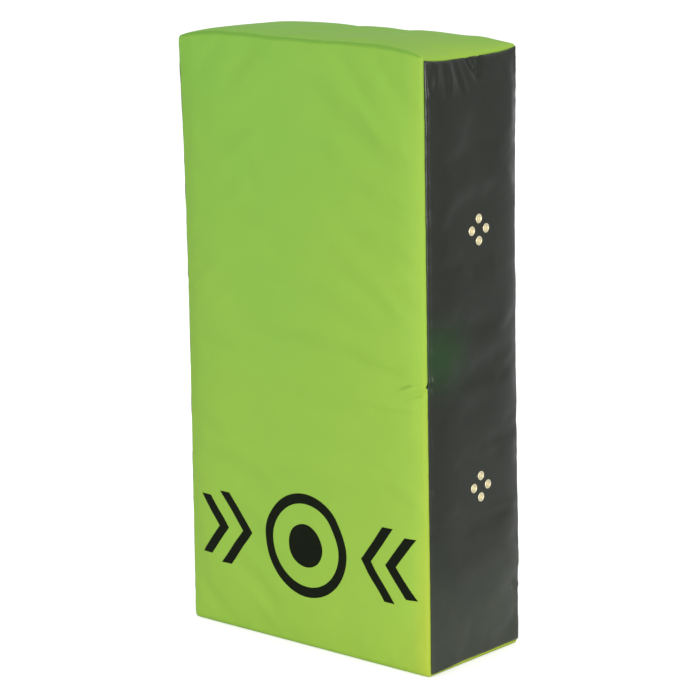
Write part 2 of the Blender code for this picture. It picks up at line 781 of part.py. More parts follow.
def make_end_tabs(material):
    """A tab of cover cloth over each end of the zip, let in flush between the two halves of the back."""
    near = zip_half_length - STOP_INSET + ROOMY_GAP
    outer_end = half_width - seam_step
    reach = ZIP_SLOT / 2 - GAP
    for word, side in (("left", -1), ("right", 1)):
        mesh_data = bmesh.new()
        rings = []
        for depth in (0, COVER_THICK):
            corners = ((near, -reach), (near, reach), (outer_end - depth, reach), (outer_end - depth, -reach))
            places = [shape((side * x, half_depth - depth, ZIP_HEIGHT + z)) for x, z in corners]
            rings.append(mesh_data.faces.new([mesh_data.verts.new(place) for place in places]))
        bmesh.ops.bridge_loops(mesh_data, edges=[edge for ring in rings for edge in ring.edges])
        bmesh.ops.triangulate(mesh_data, faces=mesh_data.faces)
        as_object(word + "_zip_end_tab", mesh_data, material)


def make_slider(metal):
    """Two plates joined by a post at the nose, flanged round the teeth, with a lug for the pull."""
    half_length = SLIDER_LENGTH / 2
    half_nose = SLIDER_NOSE_WIDTH / 2
    half_tail = SLIDER_TAIL_WIDTH / 2
    outline = [
        (-half_length, -half_tail + SLIDER_PLATE),
        (-half_length + SLIDER_PLATE, -half_tail),
        (0, -half_tail),
        (half_length / 2, -half_nose),
        (half_length - SLIDER_PLATE, -half_nose),
        (half_length, -half_nose + SLIDER_PLATE),
    ]
    outline += [(x, -z) for x, z in reversed(outline)]
    slider = prism(
        "zip_slider",
        [(slider_x + x, ZIP_HEIGHT + z) for x, z in outline],
        zip_plane - slider_half_height,
        zip_plane + slider_half_height,
        (0, 2, 1),
        metal,
    )
    teeth_half = TEETH_SPLIT / 2 + TEETH_WIDTH + SLIDER_CLEARANCE
    low_x, high_x = slider_x - SLIDER_LENGTH, slider_x + SLIDER_LENGTH
    teeth_way = box(
        "teeth_way",
        (low_x, zip_plane - channel_half, ZIP_HEIGHT - teeth_half),
        (high_x, zip_plane + channel_half, ZIP_HEIGHT + teeth_half),
        metal,
    )
    apply_boolean(slider, teeth_way)
    tape_half = TAPE_THICK / 2 + SLIDER_CLEARANCE
    tape_way = box(
        "tape_way",
        (low_x, zip_plane - tape_half, ZIP_HEIGHT - SLIDER_NOSE_WIDTH),
        (high_x, zip_plane + tape_half, ZIP_HEIGHT + SLIDER_NOSE_WIDTH),
        metal,
    )
    apply_boolean(slider, tape_way)
    post_nose = slider_x + half_length - SLIDER_PLATE
    half_post = POST_WIDTH / 2
    wedge = [
        (post_nose - POST_LENGTH, ZIP_HEIGHT),
        (post_nose - POST_LENGTH / 2, ZIP_HEIGHT - half_post),
        (post_nose, ZIP_HEIGHT - half_post),
        (post_nose, ZIP_HEIGHT + half_post),
        (post_nose - POST_LENGTH / 2, ZIP_HEIGHT + half_post),
    ]
    joined = channel_half + SLIDER_PLATE / 2
    post = prism("post", wedge, zip_plane - joined, zip_plane + joined, (0, 2, 1), metal)
    apply_boolean(slider, post, "UNION")
    foot_y = zip_plane + slider_half_height - SLIDER_PLATE / 2
    eye_top = pin_y + PULL_PIN_RADIUS + SLIDER_CLEARANCE
    half_lug = LUG_LENGTH / 2
    arch = [
        (-half_lug, foot_y),
        (-half_lug, eye_top),
        (-half_lug + LUG_BAR, eye_top + LUG_BAR),
        (half_lug - LUG_BAR, eye_top + LUG_BAR),
        (half_lug, eye_top),
        (half_lug, foot_y),
        (half_lug - LUG_BAR, foot_y),
        (half_lug - LUG_BAR, eye_top),
        (-half_lug + LUG_BAR, eye_top),
        (-half_lug + LUG_BAR, foot_y),
    ]
    lug = prism(
        "lug",
        [(slider_x + x, y) for x, y in arch],
        ZIP_HEIGHT - LUG_WIDTH / 2,
        ZIP_HEIGHT + LUG_WIDTH / 2,
        (0, 1, 2),
        metal,
    )
    apply_boolean(slider, lug, "UNION")
    return slider


def make_pull(metal):
    """A tongue whose pin runs through the slider's lug. Its origin is on the pin."""
    hinge = bpy.data.objects.new("zip_pull_hinge", None)
    bpy.context.collection.objects.link(hinge)
    hinge.location = (slider_x, pin_y, ZIP_HEIGHT)
    half_wide = PULL_WIDTH / 2
    ease = PULL_WIDTH / 4
    outline = [
        (PULL_PIN_RADIUS, -half_wide + ease),
        (PULL_PIN_RADIUS - ease, -half_wide),
        (-PULL_LENGTH + ease, -half_wide),
        (-PULL_LENGTH, -half_wide + ease),
    ]
    outline += [(x, -z) for x, z in reversed(outline)]
    half_thick = PULL_THICK / 2
    pull = prism("zip_pull", outline, -half_thick, half_thick, (0, 2, 1), metal)
    eye_half = LUG_WIDTH / 2 + SLIDER_CLEARANCE
    eye = box(
        "eye",
        (-PULL_EYE_LENGTH, -PULL_THICK, -eye_half),
        (PULL_LENGTH, PULL_THICK, eye_half),
        metal,
    )
    apply_boolean(pull, eye)
    pin = revolve(
        "pin",
        [
            (0, -half_wide + ease),
            (PULL_PIN_RADIUS, -half_wide + ease),
            (PULL_PIN_RADIUS, half_wide - ease),
            (0, half_wide - ease),
        ],
        WASHER_SEGMENTS,
        metal,
    )
    apply_boolean(pull, pin, "UNION")
    pull.parent = hinge


def main():
    for old in list(bpy.data.objects):
        bpy.data.objects.remove(old)
    green = finish("green_vinyl", "93C24F", 0.45)
    black = finish("black_vinyl", "3C3E38", 0.28)
    foam = finish("cream_foam", "EFE3B4", 0.9)
    brass = finish("pale_brass", "E6DCA8", 0.3, 1.0)
    webbing = finish("black_webbing", "26272A", 0.8)
    metal = finish("zip_metal", "9A9C9E", 0.35, 1.0)
    zip_cloth = finish("zip_cloth", "2A2B2D", 0.7)
    sides = make_cover(green, black)
    make_foam(foam)
    make_vents(sides, brass)
    for word, side in (("left", -1), ("right", 1)):
        make_handle(word, side * HANDLE_SPREAD / 2, black, webbing, foam)
    make_zip_half("upper", 1, zip_cloth)
    make_zip_half("lower", -1, zip_cloth)
    make_stops(metal)
    make_end_tabs(black)
    make_slider(metal)
    make_pull(metal)


main()
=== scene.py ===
"""Looks of the rugby hit shield: sewn PVC cover, foam, air eyelets, handles, zip and printed target."""

import math

import bmesh
import bpy
import numpy as np
from mathutils import Matrix, Vector
from mathutils.bvhtree import BVHTree


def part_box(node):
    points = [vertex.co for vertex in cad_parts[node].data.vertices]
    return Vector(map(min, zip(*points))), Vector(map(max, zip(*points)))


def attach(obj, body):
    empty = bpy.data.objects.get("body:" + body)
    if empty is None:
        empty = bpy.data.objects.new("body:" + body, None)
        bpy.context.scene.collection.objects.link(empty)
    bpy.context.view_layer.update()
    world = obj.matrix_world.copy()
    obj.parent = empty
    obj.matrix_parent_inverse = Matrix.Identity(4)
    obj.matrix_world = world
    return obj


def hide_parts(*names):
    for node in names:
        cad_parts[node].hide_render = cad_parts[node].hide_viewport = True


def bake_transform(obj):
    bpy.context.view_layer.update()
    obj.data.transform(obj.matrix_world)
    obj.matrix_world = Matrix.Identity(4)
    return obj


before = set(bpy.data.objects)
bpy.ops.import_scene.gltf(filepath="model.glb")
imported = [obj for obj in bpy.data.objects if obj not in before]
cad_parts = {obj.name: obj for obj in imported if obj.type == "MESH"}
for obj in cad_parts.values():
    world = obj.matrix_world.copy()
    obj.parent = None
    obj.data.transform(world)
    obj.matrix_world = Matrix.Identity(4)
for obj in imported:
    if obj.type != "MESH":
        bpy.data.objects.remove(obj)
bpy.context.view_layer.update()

MM = 0.001

# The block, as its maker cuts it
WIDTH, DEPTH, HEIGHT = 370 * MM, 162 * MM, 700 * MM
HALF_WIDTH, HALF_DEPTH = WIDTH / 2, DEPTH / 2
FOLD_RADIUS = 5 * MM

# Crowned faces and drawn seams
CROWN_FRONT = 6 * MM
CROWN_BACK = 4 * MM
CROWN_SIDE = 5 * MM
CROWN_TOP_FRONT = 11 * MM
CROWN_TOP_BACK = 4.5 * MM
TOP_SWELL = 2 * MM
SEAM_DRAW = 4 * MM
SEAM_DRAW_FOOT_SHARE = 0.4
TOP_SEAM_DRAW = 5.5 * MM
SEAM_FULL = 2.7 * MM
FLOOR_SEAM_LIFT = 1.6 * MM
SIDE_SEAM_LIFT = 4.2 * MM
LIFT_REACH = 8 * MM
SIDE_LIFT_SPREAD = 2.5
FACE_POWER = 6
SIDE_POWER = 4
TOP_POWER = 6
DRAW_POWER = 2.4
TOP_REACH_POWER = 8

# Cover cloth and the way its edges are sewn
CLOTH_THICK = 0.8 * MM
CLOTH_SPACING = 3.4 * MM
SIDE_SPACING = 2.3 * MM
ALLOWANCE = 8 * MM
ROLL_RADIUS = 2.8 * MM
ROLL_STEPS = 7
ROLL_TURN = math.radians(135)
TAIL = 4 * MM
SEAM_HALF_GAP = 0.12 * MM
PILLOW = 1.2 * MM
PILLOW_REACH = 8 * MM
SEAM_HOLD = 5 * MM
CLEAR = 0.3 * MM

# How far from the floor, the handles' patches and the back's seams the cover stays calm
FOOT_HOLD = 20 * MM
FOOT_CALM = 30 * MM
PATCH_CALM = 20 * MM
BACK_CALM = 40 * MM

# Foam, glued up from three slabs
STRIKE_FOAM_DEPTH = 45 * MM
BACK_FOAM_DEPTH = 41 * MM
FOAM_INSET = 6.0 * MM
FOAM_EASE = 7 * MM
FOAM_SPACING = 12 * MM
FOAM_CORNER_SHARE = 0.45
FOAM_SHARP = 50

# Where a green reflection is painted on the right side, by the front seam
GREEN_REFLECTION_PLACE = (190 * MM, -62 * MM, 368 * MM)
GREEN_REFLECTION_REACH = 62 * MM

# Air eyelets
EYELET_RADIUS = 5.5 * MM
EYELET_BORE = 3.0 * MM
BARREL_RADIUS = 3.4 * MM
EYELET_EDGE = 0.35
EYELET_DOME = 0.75
EYELET_SEGMENTS = 40
BORE_SEGMENTS = 24
VENT_HOLD = 26 * MM
POCKET_RADIUS = 19 * MM
POCKET_DEPTH = 3.4 * MM
BUTTON_ROOT = 3 * MM
BUTTON_FOOT = 0.3 * MM
BUTTON_RISE = 0.95 * MM

# Handle patches
PATCH_CORNER = 7 * MM
PATCH_LEAST_CORNER = 2 * MM
PATCH_SEAM = 4 * MM
PATCH_SEAM_CORNER = 5 * MM
THREAD_GROOVE = 1.6 * MM

# Handle webbing
WEBBING_WIDTH = 38 * MM
WEBBING_THICK = 2.4 * MM
WEBBING_STEP = 1.6 * MM
WEBBING_EDGE = 0.7
TAB_LENGTH = 60 * MM
TAB_SEAM = 5 * MM
LOOP_REACH = 52 * MM
LOOP_RISE = 46 * MM
RIB_PITCH = 4.8 * MM
RIB_RISE = 0.07 * MM
SELVEDGE_RISE = 0.12 * MM
SELVEDGE_REACH = 3 * MM
SEALED_SHARE = 0.7
SEALED_STEP = 0.15

# Padded grips
SLEEVE_THICK = 1.0 * MM
WEBBING_ROOM = 0.4 * MM
WEBBING_SLOT = (WEBBING_WIDTH / 2 + WEBBING_ROOM, WEBBING_THICK / 2 + WEBBING_ROOM)
GRIP_ACROSS_POWER = 3.3
GRIP_THROUGH_POWER = 2.5
GRIP_END_TURN = 6 * MM
GRIP_LIP = 7 * MM
GRIP_EASE = 0.6 * MM
GRIP_EASE_SHARE = 0.35
GRIP_GATHER = 0.55 * MM
GRIP_GATHER_COUNTS = (9, 14)
GRIP_GATHER_REACH = 9 * MM
GRIP_SAG = 0.35 * MM
GRIP_SAG_LENGTH = 13 * MM
GRIP_STITCH_PITCH = 3.2 * MM
PAD_INSET = 8 * MM
PAD_LIP = 1 * MM
PAD_ROOM = 1.2 * MM

# Zip across the foot of the back
ZIP_HEIGHT = 45 * MM
ZIP_SLOT = 22 * MM
ZIP_FLAT_TOP = ZIP_HEIGHT + ZIP_SLOT / 2 + 12 * MM
ZIP_RAMP = 60 * MM
TAPE_THICK = 0.8 * MM
TAPE_NEAR = 1.1 * MM
TAPE_CORD = 0.95 * MM
TAPE_CORD_ROOT = 2.6
TAPE_ROWS = 90
TAPE_RIPPLE = 0.1 * MM
TAPE_RIPPLE_LENGTH = 9 * MM
TAPE_HOLD = 6 * MM
TAPE_CALM = 5 * MM
TOOTH_PITCH = 3.5 * MM
TOOTH_THICK = 2.6 * MM
TOOTH_SPLIT = 1.3 * MM
TOOTH_WAIST = 1.9 * MM
TOOTH_BEVEL = 0.72
STOP_ROOM = 8 * MM
ZIP_SEAMS = (2.2 * MM, 6.5 * MM)
ZIP_SEAM_STOP = 12.4 * MM
TAB_LAP = 3.4 * MM
GUARD_ROOM = 2.2 * MM
GUARD_THICK = 0.6 * MM
GUARD_RIPPLE = 0.2 * MM
GUARD_RIPPLE_LENGTH = 11 * MM
CHANNEL_ROOM = 1 * MM
CASTING_EDGE = 0.25 * MM

# Sewing thread
STITCH_PITCH = 3.8 * MM
STITCH_SHARE = 0.80
THREAD_RADIUS = 0.32 * MM

# Printed target on the front
PRINT_CENTRE = (5 * MM, 125 * MM)
RING_RADIUS = 62 * MM
RING_STROKE = 12 * MM
DISC_RADIUS = 26 * MM
CHEVRON_STROKE = 15 * MM
CHEVRONS = ((84 * MM, 118 * MM, 44 * MM), (121 * MM, 149 * MM, 36 * MM))
INK_LIFT = 0.12 * MM
INK_SPACING = 2.5 * MM
DISC_EYE = 0.04 * MM
DISC_SEGMENTS = 72
RING_SEGMENTS = 140

# Creases, and the small gathers along the seams
CREASE_FADE = 0.6
FOLD_SLOPE = 1.6
GATHER_PITCH = 26 * MM
GATHER_HEIGHT = 0.7 * MM
GATHER_WIDTHS = (2.6 * MM, 5.5 * MM)
GATHER_LENGTHS = (7 * MM, 22 * MM)
GATHER_SLANT = 0.5
TOP_GATHER_PITCH = 20 * MM
TOP_GATHER_HEIGHT = 1.1 * MM

# Loosening of the cover by cloth simulation
SIM_SPACING = 9 * MM
SIM_FRAMES = 20
SIM_FOAM_HOLD = 0.15
SIM_ROOM = 0.012
SIM_SEAM_SHRINK = 0.004
SIM_QUALITY = 6
SIM_MASS = 0.4
SIM_STIFFNESS = 30
SIM_SHEAR = 8
SIM_BENDING = 0.6
SIM_PRESSURE = 4
SIM_SWELL_STEPS = 50
SIM_RISE = 2.2 * MM
SIM_SINK = 0.7 * MM
SIM_SEAM_SHARE = 0.3
SIM_BACK_CALM = 0.5

# Light level of the surroundings, and the floor's size and what it gives off towards the camera
WORLD_LEVEL = 0.58
FLOOR_GLOW = 0.62
FLOOR_REACH = 8

# A wave texture makes one turn in tau / 20 of its own units
WAVE_FACTOR = 20

# Camera, fitted to the seven corners that the photograph shows
CAMERA_AZIMUTH = math.radians(41.43)
CAMERA_PITCH = math.radians(12.78)
CAMERA_ROLL = math.radians(-1.04)
CAMERA_DISTANCE = 3.418
CAMERA_TARGET = Vector((0, 0, HEIGHT / 2))
CAMERA_SLIDE = (0.0002, -0.0096)
CAMERA_LENS = 151.25
SENSOR = 36.0


def make_camera():
    cos_azimuth, sin_azimuth = math.cos(CAMERA_AZIMUTH), math.sin(CAMERA_AZIMUTH)
    cos_pitch, sin_pitch = math.cos(CAMERA_PITCH), math.sin(CAMERA_PITCH)
    back = Vector((sin_azimuth * cos_pitch, -cos_azimuth * cos_pitch, sin_pitch))
    right = Vector((cos_azimuth, sin_azimuth, 0))
    up = back.cross(right)
    place = CAMERA_TARGET + back * CAMERA_DISTANCE + right * CAMERA_SLIDE[0] + up * CAMERA_SLIDE[1]
    rolled_right = right * math.cos(CAMERA_ROLL) + up * math.sin(CAMERA_ROLL)
    rolled_up = up * math.cos(CAMERA_ROLL) - right * math.sin(CAMERA_ROLL)
    data = bpy.data.cameras.new("camera")
    data.lens = CAMERA_LENS
    data.sensor_width = SENSOR
    camera = bpy.data.objects.new("camera", data)
    bpy.context.collection.objects.link(camera)
    turn = Matrix((rolled_right, rolled_up, back)).transposed()
    camera.matrix_world = Matrix.Translation(place) @ turn.to_4x4()
    bpy.context.scene.camera = camera


# Materials

def linear(hex_colour):
    """Linear RGBA of an sRGB hex colour."""
    channels = [int(hex_colour[i : i + 2], 16) / 255 for i in (0, 2, 4)]
    values = [c / 12.92 if c <= 0.04045 else ((c + 0.055) / 1.055) ** 2.4 for c in channels]
    return (*values, 1.0)


def feed(owner, node, inputs):
    """Sets or links a node's inputs. Each is a value, a socket, or a node whose first output it takes."""
    for name, value in inputs.items():
        if isinstance(value, bpy.types.Node):
            value = value.outputs[0]
        if isinstance(value, bpy.types.NodeSocket):
            owner.node_tree.links.new(value, node.inputs[name])
        else:
            node.inputs[name].default_value = value


def add(owner, kind, inputs=None, ramp=None, **settings):
    """Adds a shader node with its settings and links to a material or the world.

    A ramp is given as its low end, its high end and the hex colours that are spread evenly between them.
    """
    node = owner.node_tree.nodes.new("ShaderNode" + kind)
    for name, value in settings.items():
        setattr(node, name, value)
    if ramp:
        low, high, *colours = ramp
        elements = node.color_ramp.elements
        while len(elements) < len(colours):
            elements.new(0.5)
        for index, colour in enumerate(colours):
            elements[index].position = low + (high - low) * index / (len(colours) - 1)
            elements[index].color = linear(colour)
    feed(owner, node, inputs or {})
    return node


def finish(name, **sockets):
    """A new material whose Principled shader has these socket values. Returns it and its shader."""
    material = bpy.data.materials.new(name)
    material.use_nodes = True
    shader = material.node_tree.nodes["Principled BSDF"]
    for socket, value in sockets.items():
        shader.inputs[socket.replace("_", " ")].default_value = value
    return material, shader


def stripes(pitch):
    """The scale at which a wave texture's stripes lie this many metres apart."""
    return math.tau / (WAVE_FACTOR * pitch)


def coated_skin(material, shader, place, roughness, grain):
    """The calendered skin of PVC-coated polyester, through which the base cloth's threads show faintly.

    Real threads lie 1.1 mm apart. They are drawn at twice that, so that they show in a render.
    """
    smudge = add(material, "TexNoise", {"Vector": place, "Scale": 1 / (40 * MM), "Detail": 5.0})
    gloss = add(material, "MapRange", {"Value": smudge, "To Min": roughness[0], "To Max": roughness[1]})
    threads = None
    for direction in ("X", "Y", "Z"):
        inputs = {"Vector": place, "Scale": stripes(2.2 * MM), "Distortion": 0.4, "Detail": 1.0}
        wave = add(material, "TexWave", inputs, bands_direction=direction).outputs["Fac"]
        threads = wave if threads is None else add(material, "Math", {0: threads, 1: wave}, operation="ADD")
    weave = add(material, "Bump", {"Height": threads, "Distance": grain, "Strength": 0.12})
    peel = add(material, "TexNoise", {"Vector": place, "Scale": 1 / (5 * MM), "Detail": 3.0})
    orange_peel = add(material, "Bump", {"Height": peel, "Distance": grain, "Strength": 0.5, "Normal": weave})
    rumple = add(material, "TexNoise", {"Vector": place, "Scale": 1 / (38 * MM), "Detail": 2.0})
    wide = {"Height": rumple, "Distance": 9 * grain, "Strength": 0.5, "Normal": orange_peel}
    feed(material, shader, {"Roughness": gloss, "Normal": add(material, "Bump", wide)})


def green_vinyl():
    """Lime PVC-coated cloth: satin and evenly dyed, with random patches of tone, and painted light that makes
    it yellower and lighter low and to the right.

    A painted shade darkens the fold between front and top.
    """
    material, shader = finish("lime_pvc_coated_cloth", IOR=1.46, Specular_IOR_Level=0.12)
    coordinates = add(material, "TexCoord").outputs
    place = coordinates["Object"]
    axes = add(material, "SeparateXYZ", {"Vector": place}).outputs
    patches = add(material, "TexNoise", {"Vector": place, "Scale": 1 / (140 * MM), "Detail": 4.0})
    wear_and_painted_light = add(material, "MapRange", {"Value": patches, "To Min": -0.08, "To Max": 0.18})
    # Painted light: on top of the random patches, the colour is painted yellower and lighter to the right,
    # more sharply along the right edge, and towards the foot
    for axis, start, end, most in (
        ("X", -40 * MM, HALF_WIDTH, 0.22),
        ("X", HALF_WIDTH - 22 * MM, HALF_WIDTH, 0.28),
        ("Z", HEIGHT, 0.0, 0.487),
    ):
        span = {"Value": axes[axis], "From Min": start, "From Max": end, "To Max": most}
        wear_and_painted_light = add(material, "Math", {0: wear_and_painted_light, 1: add(material, "MapRange", span)}, operation="ADD")
    cloth = add(material, "ValToRGB", {"Fac": wear_and_painted_light}, ramp=(0.0, 1.0, "86BC4D", "94C04C", "A0C74D", "B6CB48"))
    # Painted shade: where the normal leans forward and up, on the fold between front and top, the green is
    # painted darker
    facing = add(material, "SeparateXYZ", {"Vector": coordinates["Normal"]}).outputs
    slant = add(material, "Math", {0: facing["Y"], 1: facing["Z"]}, operation="MULTIPLY")
    painted_fold_shade = add(material, "MapRange", {"Value": slant, "From Min": -0.25, "From Max": -0.5, "To Max": 0.75})
    shade = add(material, "Mix", {"Factor": painted_fold_shade, "A": cloth, "B": linear("6EA23C")}, data_type="RGBA")
    feed(material, shader, {"Base Color": shade.outputs["Result"]})
    coated_skin(material, shader, place, (0.48, 0.60), 0.05 * MM)
    return material


def black_vinyl():
    """Black PVC-coated cloth: smooth and half-glossy, so that it is seen mostly by what it mirrors.

    Random specks of dust grey it, a painted reflection makes it lighter towards the floor, and a painted
    green reflection tints the right side by the front seam.
    """
    material, shader = finish("black_pvc_coated_cloth", IOR=1.47)
    place = add(material, "TexCoord").outputs["Object"]
    axes = add(material, "SeparateXYZ", {"Vector": place}).outputs
    # Painted reflection: the cloth is painted lighter grey towards the floor, which it mirrors; the random
    # specks added to it are dust
    floor_span = {"Value": axes["Z"], "From Min": 300 * MM, "From Max": 0.0, "To Max": 0.5}
    painted_floor_reflection = add(material, "MapRange", floor_span)
    patches = add(material, "TexNoise", {"Vector": place, "Scale": 1 / (90 * MM), "Detail": 6.0})
    specks = add(material, "MapRange", {"Value": patches, "To Min": 0.0, "To Max": 0.4})
    dust_and_floor_reflection = add(material, "Math", {0: specks, 1: painted_floor_reflection}, operation="ADD")
    cloth = add(material, "ValToRGB", {"Fac": dust_and_floor_reflection}, ramp=(0.1, 0.75, "1C2119", "242921", "434A3F"))
    # Painted reflection: a faint green haze is painted on the right side near the front seam, fading with
    # distance from one spot
    away = add(material, "VectorMath", {0: place, 1: GREEN_REFLECTION_PLACE}, operation="DISTANCE").outputs["Value"]
    reach = {"Value": away, "From Min": GREEN_REFLECTION_REACH, "From Max": 0.0}
    painted_green_reflection = add(material, "MapRange", reach, interpolation_type="SMOOTHSTEP")
    shade = add(material, "Mix", {"Factor": painted_green_reflection, "A": cloth, "B": linear("1C3D18")}, data_type="RGBA")
    feed(material, shader, {"Base Color": shade.outputs["Result"]})
    coated_skin(material, shader, place, (0.20, 0.30), 0.04 * MM)
    return material


def screen_ink():
    """Screen-printed vinyl ink: near black, duller than the cloth, with the squeegee's fine streaks."""
    material, shader = finish("black_screen_print_ink", IOR=1.5, Specular_IOR_Level=0.12)
    place = add(material, "TexCoord").outputs["Object"]
    inputs = {"Vector": place, "Scale": stripes(3 * MM), "Distortion": 6.0, "Detail": 3.0}
    streaks = add(material, "TexWave", inputs, bands_direction="X").outputs["Fac"]
    patches = add(material, "TexNoise", {"Vector": place, "Scale": 1 / (12 * MM), "Detail": 4.0})
    looks = {
        "Base Color": add(material, "ValToRGB", {"Fac": streaks}, ramp=(0.0, 1.0, "080F02", "0F1704")),
        "Roughness": add(material, "MapRange", {"Value": patches, "To Min": 0.55, "To Max": 0.75}),
        "Normal": add(material, "Bump", {"Height": streaks, "Distance": 0.02 * MM}),
    }
    feed(material, shader, looks)
    return material


def open_cell_foam():
    """Cream polyurethane foam: matt, with open cells of about 1 mm and a saw's faint ripple."""
    reach = (3 * MM, 2.4 * MM, 1.5 * MM)
    glow = {"Subsurface_Weight": 0.25, "Subsurface_Radius": reach, "Subsurface_Scale": 1.0}
    material, shader = finish("cream_polyurethane_foam", Roughness=0.95, IOR=1.45, **glow)
    place = add(material, "TexCoord").outputs["Object"]
    cells = add(material, "TexVoronoi", {"Vector": place, "Scale": 1 / (1.1 * MM)}).outputs["Distance"]
    saw = {"Vector": place, "Scale": stripes(14 * MM)}
    saw_marks = add(material, "TexWave", saw, bands_direction="Z").outputs["Fac"]
    ripple = add(material, "Bump", {"Height": saw_marks, "Distance": 0.2 * MM, "Strength": 0.4})
    pits = {"Height": cells, "Distance": 0.35 * MM, "Strength": 0.7, "Normal": ripple}
    looks = {
        "Base Color": add(material, "ValToRGB", {"Fac": cells}, ramp=(0.1, 0.7, "F4E9BE", "E9DCAA")),
        "Normal": add(material, "Bump", pits),
    }
    feed(material, shader, looks)
    return material


def eyelet_brass():
    """Pale lacquered brass, pressed from strip: bright, finely scratched and worn dull in places."""
    material, shader = finish("pale_lacquered_brass", Metallic=1.0)
    place = add(material, "TexCoord").outputs["Object"]
    tarnish = add(material, "TexNoise", {"Vector": place, "Scale": 1 / (4 * MM), "Detail": 4.0})
    scratches = add(material, "TexNoise", {"Vector": place, "Scale": 1 / (0.7 * MM), "Detail": 2.0})
    looks = {
        "Base Color": add(material, "ValToRGB", {"Fac": tarnish}, ramp=(0.3, 0.75, "FFFAE0", "F8EEC4")),
        "Roughness": add(material, "MapRange", {"Value": tarnish, "To Min": 0.46, "To Max": 0.60}),
        "Normal": add(material, "Bump", {"Height": scratches, "Distance": 0.02 * MM, "Strength": 0.6}),
    }
    feed(material, shader, looks)
    return material


def webbing_cloth():
    """Black polypropylene webbing: a coarse twill of flat, half-shiny yarns.

    Its 1.3 mm ribs are drawn at 2.4 mm, so that they show.
    """
    material, shader = finish("black_polypropylene_webbing", IOR=1.49)
    place = add(material, "TexCoord").outputs["Object"]
    axes = add(material, "SeparateXYZ", {"Vector": place}).outputs
    away = add(material, "Math", {0: axes["X"]}, operation="ABSOLUTE")
    rise = add(material, "Math", {0: axes["Z"], 1: axes["Y"]}, operation="ADD")
    slant = add(material, "Math", {0: away, 1: rise}, operation="ADD")
    turn = add(material, "Math", {0: slant, 1: math.tau / (2.4 * MM)}, operation="MULTIPLY")
    ribs = add(material, "Math", {0: turn}, operation="SINE")
    height = add(material, "MapRange", {"Value": ribs, "To Min": 0.5, "To Max": 1.0})
    fuzz = add(material, "TexNoise", {"Vector": place, "Scale": 1 / (2 * MM), "Detail": 4.0})
    fine = add(material, "Bump", {"Height": fuzz, "Distance": 0.12 * MM, "Strength": 0.5})
    twill = {"Height": ribs, "Distance": 0.30 * MM, "Strength": 0.8, "Normal": fine}
    looks = {
        "Base Color": add(material, "ValToRGB", {"Fac": height}, ramp=(0.4, 1.0, "111214", "2C2D30")),
        "Roughness": add(material, "MapRange", {"Value": fuzz, "To Min": 0.55, "To Max": 0.85}),
        "Normal": add(material, "Bump", twill),
    }
    feed(material, shader, looks)
    return material


def tape_cloth():
    """Black polyester zip tape: a fine, dull herringbone. Its 0.8 mm ribs are drawn at 1.6 mm."""
    material, shader = finish("black_polyester_zip_tape", IOR=1.5, Roughness=0.8)
    place = add(material, "TexCoord").outputs["Object"]
    inputs = {"Vector": place, "Scale": stripes(1.6 * MM), "Distortion": 0.3}
    ribs = add(material, "TexWave", inputs, bands_direction="DIAGONAL").outputs["Fac"]
    looks = {
        "Base Color": add(material, "ValToRGB", {"Fac": ribs}, ramp=(0.0, 1.0, "141518", "25262A")),
        "Normal": add(material, "Bump", {"Height": ribs, "Distance": 0.2 * MM, "Strength": 0.7}),
    }
    feed(material, shader, looks)
    return material


def moulded_acetal():
    """Black acetal, injection moulded: smooth, with a waxy sheen and faint flow marks."""
    material, shader = finish("black_moulded_acetal", IOR=1.48)
    place = add(material, "TexCoord").outputs["Object"]
    flow = add(material, "TexNoise", {"Vector": place, "Scale": 1 / (6 * MM), "Detail": 3.0})
    looks = {
        "Base Color": add(material, "ValToRGB", {"Fac": flow}, ramp=(0.3, 0.7, "18191B", "232427")),
        "Roughness": add(material, "MapRange", {"Value": flow, "To Min": 0.30, "To Max": 0.48}),
        "Normal": add(material, "Bump", {"Height": flow, "Distance": 0.05 * MM, "Strength": 0.5}),
    }
    feed(material, shader, looks)
    return material


def plated_zinc():
    """Zinc die casting with a nickel plate, tumbled: grey, half bright, finely scuffed."""
    material, shader = finish("nickel_plated_zinc", Metallic=1.0)
    place = add(material, "TexCoord").outputs["Object"]
    scuffs = add(material, "TexNoise", {"Vector": place, "Scale": 1 / (3 * MM), "Detail": 6.0})
    looks = {
        "Base Color": add(material, "ValToRGB", {"Fac": scuffs}, ramp=(0.35, 0.7, "B4B6B8", "8C8E90")),
        "Roughness": add(material, "MapRange", {"Value": scuffs, "To Min": 0.24, "To Max": 0.46}),
        "Normal": add(material, "Bump", {"Height": scuffs, "Distance": 0.03 * MM, "Strength": 0.6}),
    }
    feed(material, shader, looks)
    return material


def bonded_thread():
    """Black bonded nylon thread: three twisted plies, half-glossy. The 0.6 mm twist is drawn at 1.2 mm."""
    material, shader = finish("black_bonded_nylon_thread", IOR=1.53, Roughness=0.45)
    place = add(material, "TexCoord").outputs["Object"]
    inputs = {"Vector": place, "Scale": stripes(1.2 * MM)}
    twist = add(material, "TexWave", inputs, bands_direction="DIAGONAL").outputs["Fac"]
    looks = {
        "Base Color": add(material, "ValToRGB", {"Fac": twist}, ramp=(0.0, 1.0, "1E1F21", "3A3B3E")),
        "Normal": add(material, "Bump", {"Height": twist, "Distance": 0.08 * MM}),
    }
    feed(material, shader, looks)
    return material


# Meshes

